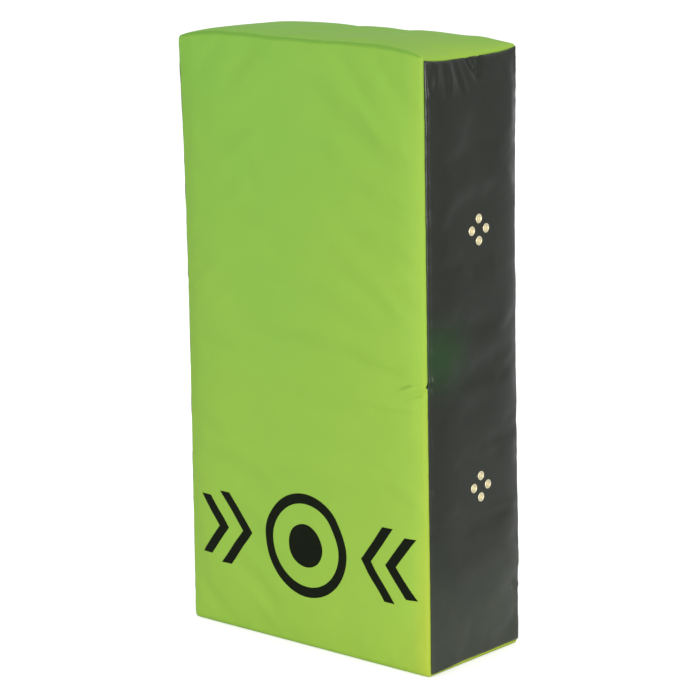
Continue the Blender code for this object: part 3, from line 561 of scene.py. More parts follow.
def mesh_object(name, points, faces, material, closed=True):
    """An object from points and faces. A closed mesh gets its faces turned to point out."""
    mesh = bpy.data.meshes.new(name)
    mesh.from_pydata(np.asarray(points).reshape(-1, 3).tolist(), [], [list(face) for face in faces])
    if closed:
        data = bmesh.new()
        data.from_mesh(mesh)
        bmesh.ops.recalc_face_normals(data, faces=data.faces)
        data.to_mesh(mesh)
        data.free()
    mesh.shade_smooth()
    made = bpy.data.objects.new(name, mesh)
    bpy.context.collection.objects.link(made)
    mesh.materials.append(material)
    return made


def corner_grids(grid):
    """The four shifted grids that hold the corners of a grid's cells."""
    return grid[:-1, :-1], grid[1:, :-1], grid[1:, 1:], grid[:-1, 1:]


def quads(grid):
    """Four-sided faces over a grid of vertex numbers."""
    return np.stack(corner_grids(grid), axis=-1).reshape(-1, 4).tolist()


def grid_faces(rows, columns, wrap_rows=False, wrap_columns=False):
    """Four-sided faces over a grid of points, numbered row by row."""
    index = np.arange(rows * columns).reshape(rows, columns)
    if wrap_rows:
        index = np.concatenate([index, index[:1]])
    if wrap_columns:
        index = np.concatenate([index, index[:, :1]], axis=1)
    return quads(index)


def tube_faces(rows, columns):
    """Faces of a tube through rings of points, with a cap at each end."""
    caps = [list(range(columns)), list(range((rows - 1) * columns, rows * columns))]
    return grid_faces(rows, columns, wrap_columns=True) + caps


def shifted(faces, base):
    """The same faces over points whose numbers start at base."""
    return [[base + index for index in face] for face in faces]


def loft(name, rings, material, ring_shaped=False):
    """A closed body through rings of points, with a cap at each end, or joined end to end."""
    rings = np.asarray(rings)
    rows, columns = rings.shape[:2]
    faces = grid_faces(rows, columns, True, True) if ring_shaped else tube_faces(rows, columns)
    return mesh_object(name, rings, faces, material)


def applied(made):
    """Keeps what the piece's modifiers make as its own mesh."""
    bpy.context.view_layer.update()
    graph = bpy.context.evaluated_depsgraph_get()
    result = bpy.data.meshes.new_from_object(made.evaluated_get(graph))
    made.modifiers.clear()
    made.data = result
    return made


def cut(made, cutter):
    """Cuts a helper's shape out of the piece, and removes the helper."""
    modifier = made.modifiers.new("cut", "BOOLEAN")
    modifier.object = cutter
    applied(made)
    bpy.data.objects.remove(cutter)
    return made


def sharpen(made, degrees=35):
    made.data.set_sharp_from_angle(angle=math.radians(degrees))
    return made


def corners_of(node):
    """The low and high corners of a CAD node's box."""
    return tuple(Vector(corner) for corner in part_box(node))


def surface_of(made):
    return BVHTree.FromObject(made, bpy.context.evaluated_depsgraph_get())


def dress(made, body, slot, *nodes):
    """Says what the piece rides on and which solids it stands for. The slot, its finish, is not used."""
    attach(made, body)
    if nodes:
        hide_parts(*nodes)
    return made


# The block's form

def crown_and_draw(points):
    """Crowns the faces, draws the seams in between the corners and lifts the floor seams."""
    x, y, z = points[..., 0], points[..., 1], points[..., 2]
    across, along, up = x / HALF_WIDTH, y / HALF_DEPTH, z / HEIGHT
    between_ends = 1 - np.abs(2 * up - 1) ** FACE_POWER
    foot_ease = SEAM_DRAW_FOOT_SHARE + (1 - SEAM_DRAW_FOOT_SHARE) * up
    draw = SEAM_DRAW * (1 - np.abs(2 * up - 1) ** DRAW_POWER) * foot_ease
    at_side = np.abs(along) ** SIDE_POWER
    side_push = CROWN_SIDE * (1 - at_side) * between_ends - draw * at_side
    at_edge = np.abs(across) ** FACE_POWER
    face_crown = np.where(along > 0, CROWN_BACK, CROWN_FRONT)
    face_push = face_crown * (1 - at_edge) * between_ends - draw * at_edge
    hold = smooth_step((z - ZIP_FLAT_TOP) / ZIP_RAMP)
    face_push = np.where(along > 0, face_push * hold, face_push)
    at_top_edge = np.abs(across) ** TOP_POWER
    back_share = (along + 1) / 2
    top_crown = CROWN_TOP_FRONT + (CROWN_TOP_BACK - CROWN_TOP_FRONT) * back_share
    top_crown = top_crown + TOP_SWELL * (1 - along * along)
    top_push = top_crown * (1 - at_top_edge) - TOP_SEAM_DRAW * at_top_edge * (1 - at_side)
    side_curl = np.clip((np.abs(x) - HALF_WIDTH) / LIFT_REACH + 1, 0, None)
    back_curl = np.clip((y - HALF_DEPTH) / LIFT_REACH + 1, 0, None)
    side_lift = SIDE_SEAM_LIFT * side_curl**2 * smooth_step(SIDE_LIFT_SPREAD * back_share)
    lift = np.maximum(side_lift, FLOOR_SEAM_LIFT * back_curl**2)
    lift = lift * np.clip(1 - up, 0, 1) ** TOP_REACH_POWER
    reach = np.clip(up, 0, None) ** TOP_REACH_POWER
    full_face = SEAM_FULL * np.where(along > 0, at_edge * hold, 1.0)
    new_x = x + across * (side_push + SEAM_FULL)
    new_y = y + along * (face_push + full_face)
    return np.stack([new_x, new_y, z + (top_push + SEAM_FULL) * reach + lift], axis=-1)


def smooth_step(share):
    share = np.clip(share, 0, 1)
    return share * share * (3 - 2 * share)


# Path of the green strip: along the floor, up the front and over the top
FLOOR_RUN = DEPTH - FOLD_RADIUS
FOLD_RUN = FOLD_RADIUS * math.pi / 2
FRONT_RUN = HEIGHT - 2 * FOLD_RADIUS
FRONT_START = FLOOR_RUN + FOLD_RUN
TOP_START = FRONT_START + FRONT_RUN + FOLD_RUN
WRAP_RUN = TOP_START + FLOOR_RUN


def wrap_place(x, run, out):
    """Box points of the green strip, out metres proud of it."""
    low_turn = np.clip((run - FLOOR_RUN) / FOLD_RADIUS, 0, math.pi / 2)
    high_turn = np.clip((run - FRONT_START - FRONT_RUN) / FOLD_RADIUS, 0, math.pi / 2)
    turn = low_turn + high_turn
    normal_y, normal_z = -np.sin(turn), -np.cos(turn)
    floor_y = np.clip(FLOOR_RUN - run, 0, None)
    top_y = np.clip(run - TOP_START, 0, None)
    y = FOLD_RADIUS - HALF_DEPTH + floor_y + top_y + normal_y * (FOLD_RADIUS + out)
    z = FOLD_RADIUS + np.clip(run - FRONT_START, 0, FRONT_RUN) + normal_z * (FOLD_RADIUS + out)
    return np.stack([x, y, z], axis=-1)


def side_place(side):
    """Box points of a side panel, with its front corners rounded as the green strip folds there."""

    def place(y, z, out):
        centre_y = FOLD_RADIUS - HALF_DEPTH
        top = z > HEIGHT / 2
        centre_z = np.where(top, HEIGHT - FOLD_RADIUS, FOLD_RADIUS)
        forward = (centre_y - y) / FOLD_RADIUS
        up = np.where(top, z - centre_z, centre_z - z) / FOLD_RADIUS
        corner = (forward > 0) & (up > 0)
        reach = np.maximum(forward, up)
        lesser = np.minimum(forward, up) / np.where(corner, reach, 1)
        turn = math.pi / 4 * np.where(forward >= up, lesser, 2 - lesser)
        rise = reach * FOLD_RADIUS * np.sin(turn)
        corner_y = centre_y - reach * FOLD_RADIUS * np.cos(turn)
        corner_z = centre_z + np.where(top, rise, -rise)
        x = np.full_like(y, side * HALF_WIDTH) + side * out
        return np.stack([x, np.where(corner, corner_y, y), np.where(corner, corner_z, z)], axis=-1)

    return place


def back_place(x, z, out):
    return np.stack([x, np.full_like(x, HALF_DEPTH) + out, z], axis=-1)


# Where the cover is held still: on the floor, round the vents, under the handles and along the zip

def vent_centres():
    """(y, z) of the middle of each diamond of eyelets."""
    middles = []
    for level in ("lower", "upper"):
        low_front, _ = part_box(f"right_{level}_front_eyelet")
        _, high_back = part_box(f"right_{level}_back_eyelet")
        low_bottom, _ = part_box(f"right_{level}_bottom_eyelet")
        _, high_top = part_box(f"right_{level}_top_eyelet")
        middles.append(((low_front[1] + high_back[1]) / 2, (low_bottom[2] + high_top[2]) / 2))
    return middles


def patch_boxes():
    words, levels = ("left", "right"), ("lower", "upper")
    return [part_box(f"{word}_handle_{level}_patch") for word in words for level in levels]


def side_freedom(y, z):
    """1 where a side panel may wrinkle, and 0 round its eyelets."""
    free = np.ones_like(y)
    for vent_y, vent_z in vent_centres():
        free = free * smooth_step((np.hypot(y - vent_y, z - vent_z) - VENT_HOLD) / VENT_HOLD)
    return free


def back_freedom(x, z):
    """1 where the back may wrinkle, and 0 under the handles' patches and along the zip."""
    free = smooth_step((z - ZIP_FLAT_TOP) / ZIP_RAMP)
    for low, high in patch_boxes():
        beside = np.maximum(np.maximum(low[0] - x, x - high[0]), np.maximum(low[2] - z, z - high[2]))
        free = free * smooth_step(beside / PATCH_CALM)
    return free


def wrap_freedom(x, run):
    """1 where the green strip may wrinkle, and 0 where it lies on the floor."""
    return smooth_step((run - FRONT_START - FOOT_HOLD) / FOOT_CALM) * np.ones_like(x)


# Loosening of the cover, by cloth simulation

def closed_cover(stations):
    """A block's skin as one closed mesh: each face's grid of vertex numbers, and each vertex's stations."""
    keys = {}

    def vert(*key):
        return keys.setdefault(key, len(keys))

    nx, ny, nz = (len(lines) - 1 for lines in stations)
    xs, ys, zs = (list(range(n + 1)) for n in (nx, ny, nz))
    floor = [[vert(i, j, 0) for j in reversed(ys)] for i in xs]
    front = [[vert(i, 0, k) for k in zs] for i in xs]
    top = [[vert(i, j, nz) for j in ys] for i in xs]
    wrap = [low + middle[1:] + high[1:] for low, middle, high in zip(floor, front, top)]
    grids = {
        "wrap": wrap,
        "left": [[vert(0, j, k) for k in zs] for j in ys],
        "right": [[vert(nx, j, k) for k in zs] for j in ys],
        "back": [[vert(i, ny, k) for k in zs] for i in xs],
    }
    return {face: np.array(grid) for face, grid in grids.items()}, list(keys)


def simulated_slack():
    """How far each part of a slightly roomy cover moves as the foam pushes it out, face by face.

    The foam is soft, so it holds the cloth as many weak springs would. Cloth that is a little too
    large for those springs buckles into shallow wrinkles, and the seams, which have shrunk, pucker.
    """
    sizes = ((-HALF_WIDTH, HALF_WIDTH), (-HALF_DEPTH, HALF_DEPTH), (0, HEIGHT))
    stations = [np.linspace(low, high, round((high - low) / SIM_SPACING) + 1) for low, high in sizes]
    grids, keys = closed_cover(stations)
    x_lines, y_lines, z_lines = stations
    wrap_lines = [HALF_DEPTH - y_lines[::-1], DEPTH + z_lines[1:], DEPTH + HEIGHT + HALF_DEPTH + y_lines[1:]]
    lines = {
        "wrap": (x_lines, np.concatenate(wrap_lines)),
        "left": (y_lines, z_lines),
        "right": (y_lines, z_lines),
        "back": (x_lines, z_lines),
    }
    box_points = np.array([[line[i] for line, i in zip(stations, key)] for key in keys])
    still = crown_and_draw(box_points)
    travel = wrinkles_only(settle(still, box_points, grids) - still, still, box_points, grids)
    return {face: (lines[face], travel[grid]) for face, grid in grids.items()}


def wrinkles_only(travel, still, box_points, grids):
    """Takes the wide swell off the travel, eases it at the seams and lets it sink less than it rises."""
    swell = travel
    for _ in range(SIM_SWELL_STEPS):
        swell = neighbour_mean(swell, grids)
    travel = travel - swell
    normals = np.zeros_like(still)
    centre = still.mean(axis=0)
    for grid in grids.values():
        run_one = still[grid[1:]] - still[grid[:-1]]
        run_two = still[grid[:, 1:]] - still[grid[:, :-1]]
        square = np.cross(run_one[:, :-1], run_two[:-1])
        for corner in corner_grids(grid):
            outward = np.sign((square * (still[corner] - centre)).sum(axis=-1, keepdims=True))
            np.add.at(normals, corner, square * outward)
    normals /= np.linalg.norm(normals, axis=1, keepdims=True)
    out = (travel * normals).sum(axis=1)
    out = np.where(out > 0, SIM_RISE * np.tanh(out / SIM_RISE), SIM_SINK * np.tanh(out / SIM_SINK))
    seam_share = np.where(seam_counts(box_points) > 1, SIM_SEAM_SHARE, 1.0)
    x, y, z = box_points.T
    inside = np.minimum(HALF_WIDTH - np.abs(x), HEIGHT - z)
    on_back = y > HALF_DEPTH - CLEAR
    calm = np.where(on_back, 1 - SIM_BACK_CALM * smooth_step(inside / BACK_CALM), 1.0)
    return normals * (out * seam_share * calm)[:, None]


def neighbour_mean(values, grids):
    """Each vertex's mean of its neighbours along the faces' grids."""
    total = np.zeros_like(values)
    count = np.zeros(len(values))
    for grid in grids.values():
        pairs = ((grid[1:], grid[:-1]), (grid[:, 1:], grid[:, :-1]))
        for one, other in pairs:
            np.add.at(total, one, values[other])
            np.add.at(total, other, values[one])
            np.add.at(count, one, 1)
            np.add.at(count, other, 1)
    return total / count[:, None]


def seam_counts(box_points):
    """How many of the block's faces each point is on."""
    x, y, z = box_points.T
    on_width, on_depth = np.abs(x) > HALF_WIDTH - CLEAR, np.abs(y) > HALF_DEPTH - CLEAR
    return sum(on.astype(int) for on in (on_width, on_depth, z < CLEAR, z > HEIGHT - CLEAR))


def settle(still, box_points, grids):
    """Runs the cloth and gives the points' places at its end."""
    faces = [quad for grid in grids.values() for quad in quads(grid)]
    made = mesh_object("loose_cover", still, faces, None)
    x, y, z = box_points.T
    firm = np.full(len(still), SIM_FOAM_HOLD)
    firm = np.where(np.abs(x) > HALF_WIDTH - CLEAR, np.maximum(firm, 1 - side_freedom(y, z)), firm)
    firm = np.where(y > HALF_DEPTH - CLEAR, np.maximum(firm, 1 - back_freedom(x, z)), firm)
    firm = np.where(z < CLEAR, 1.0, firm)
    on_seam = seam_counts(box_points) > 1
    hold = made.vertex_groups.new(name="hold")
    sewn = made.vertex_groups.new(name="sewn")
    for index, weight in enumerate(firm):
        hold.add([index], float(weight), "REPLACE")
        sewn.add([index], 1.0 if on_seam[index] else 0.0, "REPLACE")
    cloth = made.modifiers.new("cloth", "CLOTH")
    settings = cloth.settings
    settings.quality = SIM_QUALITY
    settings.mass = SIM_MASS
    settings.tension_stiffness = settings.compression_stiffness = SIM_STIFFNESS
    settings.shear_stiffness = SIM_SHEAR
    settings.bending_stiffness = SIM_BENDING
    settings.use_pressure = True
    settings.uniform_pressure_force = SIM_PRESSURE
    settings.vertex_group_mass = "hold"
    settings.pin_stiffness = 1.0
    settings.vertex_group_shrink = "sewn"
    settings.shrink_min = -SIM_ROOM
    settings.shrink_max = SIM_SEAM_SHRINK
    settings.effector_weights.gravity = 0
    cloth.collision_settings.use_collision = False
    cloth.point_cache.frame_end = SIM_FRAMES
    scene = bpy.context.scene
    for step in range(1, SIM_FRAMES + 1):
        scene.frame_set(step)
    applied(made)
    points = np.empty(len(still) * 3)
    made.data.vertices.foreach_get("co", points)
    bpy.data.objects.remove(made)
    scene.frame_set(1)
    return points.reshape(-1, 3)


def spline_weights(share):
    """Weights of four neighbours for a smooth reading between the middle two."""
    rest = 1 - share
    first = rest**3 / 6
    second = (3 * share**3 - 6 * share**2 + 4) / 6
    last = share**3 / 6
    return first, second, 1 - first - second - last, last


def padded_grid(grid):
    """Carries a grid on in a straight line past each edge, so that a smooth reading meets it exactly."""
    grid = np.concatenate([2 * grid[:1] - grid[1:2], grid, 2 * grid[-1:] - grid[-2:-1]])
    return np.concatenate([2 * grid[:, :1] - grid[:, 1:2], grid, 2 * grid[:, -1:] - grid[:, -2:-1]], axis=1)


def slack_at(face, first, second):
    """The simulated travel at points of a face, read smoothly from its coarse grid."""
    (first_lines, second_lines), grid = SLACK[face]
    grid = padded_grid(grid)
    spots = []
    for values, lines in ((first, first_lines), (second, second_lines)):
        place = np.interp(values, lines, np.arange(len(lines)))
        cell = np.minimum(place.astype(int), len(lines) - 2)
        spots.append((cell, spline_weights(place - cell)))
    (row, row_weights), (column, column_weights) = spots
    total = 0
    for i, row_weight in enumerate(row_weights):
        for j, column_weight in enumerate(column_weights):
            total = total + grid[row + i, column + j] * (row_weight * column_weight)[..., None]
    return total


def box_run(run):
    """Length along the green strip, told on the plain box, whose front edges are square."""
    ends = [0, FLOOR_RUN, FRONT_START, FRONT_START + FRONT_RUN, TOP_START, WRAP_RUN]
    square = [0, FLOOR_RUN, DEPTH + FOLD_RADIUS, DEPTH + HEIGHT - FOLD_RADIUS]
    return np.interp(run, ends, [*square, DEPTH + HEIGHT + FOLD_RADIUS, 2 * DEPTH + HEIGHT])


# Creases, as heights over a panel

def crease(u, v, line, width, height, fold=False):
    """A ridge along a line of (u, v) points that fades at its ends.

    A fold is high on one side of its line and low on the other.
    """
    total = sum(math.dist(a, b) for a, b in zip(line, line[1:]))
    best = np.full(u.shape, np.inf)
    signed = np.zeros(u.shape)
    share = np.zeros(u.shape)
    run = 0.0
    for (u0, v0), (u1, v1) in zip(line, line[1:]):
        length = math.dist((u0, v0), (u1, v1))
        along_u, along_v = (u1 - u0) / length, (v1 - v0) / length
        reach = np.clip((u - u0) * along_u + (v - v0) * along_v, 0, length)
        away_u, away_v = u - u0 - reach * along_u, v - v0 - reach * along_v
        distance = np.hypot(away_u, away_v)
        nearer = distance < best
        best = np.where(nearer, distance, best)
        signed = np.where(nearer, distance * np.sign(away_v * along_u - away_u * along_v), signed)
        share = np.where(nearer, (run + reach) / total, share)
        run += length
    fade = np.clip(np.sin(np.clip(share, 0, 1) * math.pi), 0, 1) ** CREASE_FADE
    swell = np.exp(-((best / width) ** 2))
    return height * fade * swell * (signed / width * FOLD_SLOPE if fold else 1.0)


def creases(u, v, rows):
    """The sum of creases given as (line, width, height, fold) in millimetres."""
    total = np.zeros_like(u)
    for line, width, height, fold in rows:
        metres = [(a * MM, b * MM) for a, b in line]
        total = total + crease(u, v, metres, width * MM, height * MM, fold)
    return total


def gathers(along, away, span, seed, pitch=GATHER_PITCH, height=GATHER_HEIGHT):
    """Small puckers that run in from a seam, where the cloth was fed in slightly full."""
    random = np.random.default_rng(seed)
    total = np.zeros_like(along)
    place = span[0]
    while place < span[1]:
        place += pitch * random.uniform(0.45, 1.5)
        width = random.uniform(*GATHER_WIDTHS)
        length = random.uniform(*GATHER_LENGTHS)
        slant = random.uniform(-GATHER_SLANT, GATHER_SLANT)
        rise = height * random.uniform(-1, 1)
        total = total + rise * np.exp(-(((along - place - slant * away) / width) ** 2) - away / length)
    return total


# Each crease is its line, its width, its height and whether it is a fold, all in millimetres over its panel.
# On the front a point is (x, height), and on a side it is (y, height).
FRONT_CREASES = (
    (((-176, 684), (0, 686), (176, 681)), 7, -0.8, False),
    (((-172, 703), (-30, 702), (150, 704)), 4.6, -1.4, False),
    (((85, 651), (145, 592), (179, 574)), 9, 1.6, False),
    (((148, 601), (182, 586)), 5, 1.0, False),
    (((132, 546), (178, 531)), 6, 0.9, True),
    (((-145, 668), (-170, 611)), 10, 0.8, False),
    (((80, 358), (101, 357), (133, 353), (166, 346)), 7, 1.3, True),
    (((-166, 390), (2, 372), (164, 363)), 16, 1.1, True),
    (((150, 325), (166, 331), (196, 337)), 3.6, 4.4, True),
    (((104, 306), (176, 308)), 5, 1.7, True),
    (((136, 319), (172, 329)), 4, 1.4, True),
    (((-169, 312), (8, 323)), 14, 0.7, True),
)
RIGHT_CREASES = (
    (((-62, 698), (-71, 662)), 5.0, 1.7, True),
    (((-44, 697), (-46, 655)), 6.0, 1.9, True),
    (((-30, 697), (-20, 655)), 5.0, 1.5, True),
    (((-13, 708), (3, 671)), 3.3, -3.7, False),
    (((3, 671), (17, 708)), 3.0, -3.9, False),
    (((-34, 693), (20, 694)), 4, -1.8, False),
    (((-90, 343), (-54, 334)), 4, 1.4, True),
    (((-69, 191), (3, 178), (78, 170)), 6, 1.2, True),
    (((60, 76), (80, 66)), 5, 1.4, True),
    (((-81, 283), (81, 270)), 30, -2.2, False),
)
LEFT_CREASES = (
    (((-58, 697), (-70, 668)), 6, 1.6, True),
    (((20, 698), (12, 664)), 5, 1.8, True),
    (((52, 697), (58, 670)), 5, 1.4, True),
    (((-84, 420), (-48, 408)), 5, 1.3, True),
    (((-72, 232), (10, 224), (76, 236)), 8, 1.1, True),
    (((-81, 300), (81, 310)), 30, -1.6, False),
)


def front_relief(x, run):
    height = run - FRONT_START + FOLD_RADIUS
    total = creases(x, height, FRONT_CREASES)
    for side, seed in ((-1, 11), (1, 12)):
        total = total + gathers(run, HALF_WIDTH - side * x, (FRONT_START, WRAP_RUN), seed)
    return total * wrap_freedom(x, run)


def side_relief(rows, seed):
    def relief(y, z):
        total = creases(y, z, rows)
        total = total + gathers(z, y + HALF_DEPTH, (0, HEIGHT), seed)
        total = total + gathers(z, HALF_DEPTH - y, (0, HEIGHT), seed + 1)
        top_span = (-HALF_DEPTH, HALF_DEPTH)
        total = total + gathers(y, HEIGHT - z, top_span, seed + 2, TOP_GATHER_PITCH, TOP_GATHER_HEIGHT)
        return total * side_freedom(y, z)

    return relief


def back_relief(x, z):
    total = np.zeros_like(x)
    for side, seed in ((-1, 31), (1, 32)):
        total = total + gathers(z, HALF_WIDTH - side * x, (0, HEIGHT), seed)
    total = total + gathers(x, HEIGHT - z, (-HALF_WIDTH, HALF_WIDTH), 33)
    return total * back_freedom(x, z)


# For each face of the cover, its place on the plain box, its relief and its spans from seam to seam
FACES = {
    "wrap": (wrap_place, front_relief, ((-HALF_WIDTH, HALF_WIDTH), (0, WRAP_RUN))),
    "left": (side_place(-1), side_relief(LEFT_CREASES, 41), ((-HALF_DEPTH, HALF_DEPTH), (0, HEIGHT))),
    "right": (side_place(1), side_relief(RIGHT_CREASES, 51), ((-HALF_DEPTH, HALF_DEPTH), (0, HEIGHT))),
    "back": (back_place, back_relief, ((-HALF_WIDTH, HALF_WIDTH), (0, HEIGHT))),
}


def on_cover(face, first, second, depth=0.0):
    """Points of the finished cover, depth metres under its outer skin."""
    place, relief, spans = FACES[face]
    edge = np.inf
    for values, (low, high) in zip((first, second), spans):
        edge = np.minimum(edge, np.minimum(values - low, high - values))
    free = smooth_step(edge / SEAM_HOLD)
    out = relief(first, second) * free - PILLOW * np.exp(-2 * edge / PILLOW_REACH) - depth
    along = box_run(second) if face == "wrap" else second
    return crown_and_draw(place(first, second, out)) + slack_at(face, first, along)


# Sewn panels

def rolled_edge():
    """(inset, depth) from the hidden tail of the seam allowance out to where the panel lies flat.

    Two panels are turned in face to face along a seam, so each one rolls over before it dives.
    """
    start = ROLL_RADIUS * (1 + math.sqrt(2)) + SEAM_HALF_GAP
    steps = []
    for step in range(ROLL_STEPS + 1):
        turn = ROLL_TURN * (1 - step / ROLL_STEPS)
        steps.append((start - ROLL_RADIUS * math.sin(turn), ROLL_RADIUS * (1 - math.cos(turn))))
    slide = TAIL / math.sqrt(2)
    return [(steps[0][0] + slide, steps[0][1] + slide), *steps]


def hemmed_edge():
    """(inset, depth) of a folded edge that lies on the zip's tape."""
    radius = CLOTH_THICK / 2
    return [(radius * (1 - math.sin(t)), radius * (1 - math.cos(t))) for t in np.linspace(math.pi / 2, 0, 4)]


def edge_lines(low, high, spacing, ends):
    """Places and depths of the grid lines from one edge of a panel to the other."""
    first, last = ends[0](), ends[1]()
    inner_low, inner_high = low + first[-1][0], high - last[-1][0]
    count = round((inner_high - inner_low) / spacing)
    places = [low + inset for inset, _ in first]
    places += list(np.linspace(inner_low, inner_high, count + 1)[1:-1])
    places += [high - inset for inset, _ in reversed(last)]
    depths = [depth for _, depth in first] + [0.0] * (count - 1) + [depth for _, depth in reversed(last)]
    return np.array(places), np.array(depths)


def sewn_panel(name, face, spans, ends, material, flip=False, spacing=CLOTH_SPACING):
    """A panel of cover cloth with its edges rolled in or hemmed, creased and loosened."""
    u, u_depth = edge_lines(*spans[0], spacing, ends[0])
    v, v_depth = edge_lines(*spans[1], spacing, ends[1])
    u_grid, v_grid = np.meshgrid(u, v, indexing="ij")
    depth = np.maximum(u_depth[:, None], v_depth[None, :])
    points = on_cover(face, u_grid, v_grid, depth)
    faces = grid_faces(*u_grid.shape)
    if flip:
        faces = [quad[::-1] for quad in faces]
    made = mesh_object(name, points, faces, material, closed=False)
    thick = made.modifiers.new("thickness", "SOLIDIFY")
    thick.thickness = CLOTH_THICK
    thick.offset = -1
    return applied(made)


FOAM_NODES = ["strike_foam_slab", "core_foam_slab", "back_foam_slab"]


def make_wrap(material):
    spans = FACES["wrap"][2]
    made = sewn_panel("front_wrap_cloth", "wrap", spans, ((rolled_edge, rolled_edge),) * 2, material)
    return dress(made, "shield", "green_vinyl", "front_wrap_panel")


def make_side(word, material):
    spans = FACES[word][2]
    ends = ((rolled_edge, rolled_edge),) * 2
    made = sewn_panel(word + "_side_cloth", word, spans, ends, material, word == "left", SIDE_SPACING)
    stands = eyelet_stands(made, word)
    for stand in stands.values():
        cut(made, vent_punch(stand))
    dress(made, "shield", "black_vinyl", word + "_side_panel")
    return stands


def make_backs(material):
    """The back in two, hemmed above and below the zip."""
    x_span = (-HALF_WIDTH, HALF_WIDTH)
    upper = (x_span, (ZIP_HEIGHT + ZIP_SLOT / 2, HEIGHT))
    lower = (x_span, (0, ZIP_HEIGHT - ZIP_SLOT / 2))
    sewn, hemmed = rolled_edge, hemmed_edge
    made = []
    for name, spans, ends, node in (
        ("back_cloth", upper, (hemmed, sewn), "back_panel"),
        ("back_foot_cloth", lower, (sewn, hemmed), "back_foot_panel"),
    ):
        panel = sewn_panel(name, "back", spans, ((sewn, sewn), ends), material, flip=True)
        made.append(dress(panel, "shield", "black_vinyl", node))
    return made


# Air eyelets

VENT_POINTS = ("back", "top", "front", "bottom")


def eyelet_stands(panel, word):
    """A frame on the cloth for each eyelet's solid, with its Z square to the cloth."""
    side = -1 if word == "left" else 1
    surface = surface_of(panel)
    stands = {}
    for level in ("lower", "upper"):
        for point in VENT_POINTS:
            node = f"{word}_{level}_{point}_eyelet"
            low, high = corners_of(node)
            start = Vector((side * WIDTH, (low.y + high.y) / 2, (low.z + high.z) / 2))
            spot, normal, _, _ = surface.ray_cast(start, Vector((-side, 0, 0)))
            turn = normal.to_track_quat("Z", "Y").to_matrix().to_4x4()
            stands[node] = Matrix.Translation(spot) @ turn
    return stands


def ring_on(stand, radius, height, segments):
    """Points round an eyelet's axis, at this height over the cloth."""
    angles = np.arange(segments) * math.tau / segments
    return [stand @ Vector((radius * math.cos(a), radius * math.sin(a), height)) for a in angles]


def vent_punch(stand):
    """What is cut from the side cloth for an eyelet's barrel."""
    heights = (-ALLOWANCE / 2, ALLOWANCE / 2)
    rings = [ring_on(stand, BARREL_RADIUS + CLEAR, height, BORE_SEGMENTS) for height in heights]
    return loft("punch", rings, None)


def make_eyelets(stands, material):
    """Domed eyelets, rolled in at the bore and clinched out behind the washer.

    The profile is in millimetres from the eyelet's axis and over the cloth.
    """
    dome = []
    for share in np.linspace(0, 1, 9):
        radius = EYELET_RADIUS / MM - share * (EYELET_RADIUS - EYELET_BORE) / MM
        dome.append((radius, EYELET_EDGE + EYELET_DOME * math.sin(math.pi * share**0.85) ** 0.8))
    profile = [
        *dome,
        # Down inside the barrel and out under the washer
        (3.0, -0.3),
        (3.0, -1.6),
        (3.25, -2.2),
        (3.9, -2.55),
        (4.7, -2.6),
        # Back along the outside, to the rim on the cloth
        (4.7, -2.3),
        (4.0, -2.15),
        (3.4, -2.0),
        (3.4, 0.0),
        (4.0, 0.15),
        (5.3, 0.12),
    ]
    for node, stand in stands.items():
        rings = [ring_on(stand, radius * MM, height * MM, EYELET_SEGMENTS) for radius, height in profile]
        made = loft(node + "_pressing", rings, material, ring_shaped=True)
        dress(made, "shield", "pale_brass", node)


# Foam

def foam_slab(name, y_low, y_high, material):
    """One slab of the block, eased along the seams, as a closed grid of crowned faces."""
    ends = ((-HALF_WIDTH, HALF_WIDTH), (y_low, y_high), (0, HEIGHT))
    lines = []
    for low, high in ends:
        inner = (FOAM_EASE / 3, FOAM_EASE)
        count = max(round((high - low) / FOAM_SPACING), 2)
        middle = np.linspace(low + FOAM_EASE, high - FOAM_EASE, count + 1)[1:-1]
        steps = [low, *(low + s for s in inner), *middle, *(high - s for s in reversed(inner)), high]
        lines.append(np.array(steps))
    grids, keys = closed_cover(lines)
    points = np.array([[line[i] for line, i in zip(lines, key)] for key in keys])
    box_low = np.array([-HALF_WIDTH, -HALF_DEPTH, 0]) + FOAM_INSET
    box_high = np.array([HALF_WIDTH, HALF_DEPTH, HEIGHT]) - FOAM_INSET
    near = np.clip(FOAM_EASE - np.minimum(points - box_low, box_high - points), 0, FOAM_EASE) / FOAM_EASE
    crowd = np.sort(near, axis=1)[:, 1:].min(axis=1, keepdims=True)
    points = np.clip(points, box_low, box_high)
    middle = np.clip(points, box_low + FOAM_EASE, box_high - FOAM_EASE)
    points = points + (middle - points) * crowd * FOAM_CORNER_SHARE
    points[:, 1] = np.clip(points[:, 1], max(y_low, box_low[1]), min(y_high, box_high[1]))
    faces = [quad for grid in grids.values() for quad in quads(grid)]
    made = mesh_object(name, crown_and_draw(points), faces, material)
    return sharpen(made, FOAM_SHARP)


def vent_pocket(side, vent_y, vent_z):
    """The shallow pocket in the foam behind a diamond of eyelets."""
    angles = np.arange(EYELET_SEGMENTS) * math.tau / EYELET_SEGMENTS
    across, up = vent_y + POCKET_RADIUS * np.cos(angles), vent_z + POCKET_RADIUS * np.sin(angles)
    surface = crown_and_draw(np.array([side * HALF_WIDTH, vent_y, vent_z]))[0]
    rings = []
    for depth in (POCKET_DEPTH, -ALLOWANCE):
        x = surface - side * depth
        rings.append([(x, y, z) for y, z in zip(across, up)])
    return loft("pocket", rings, None)


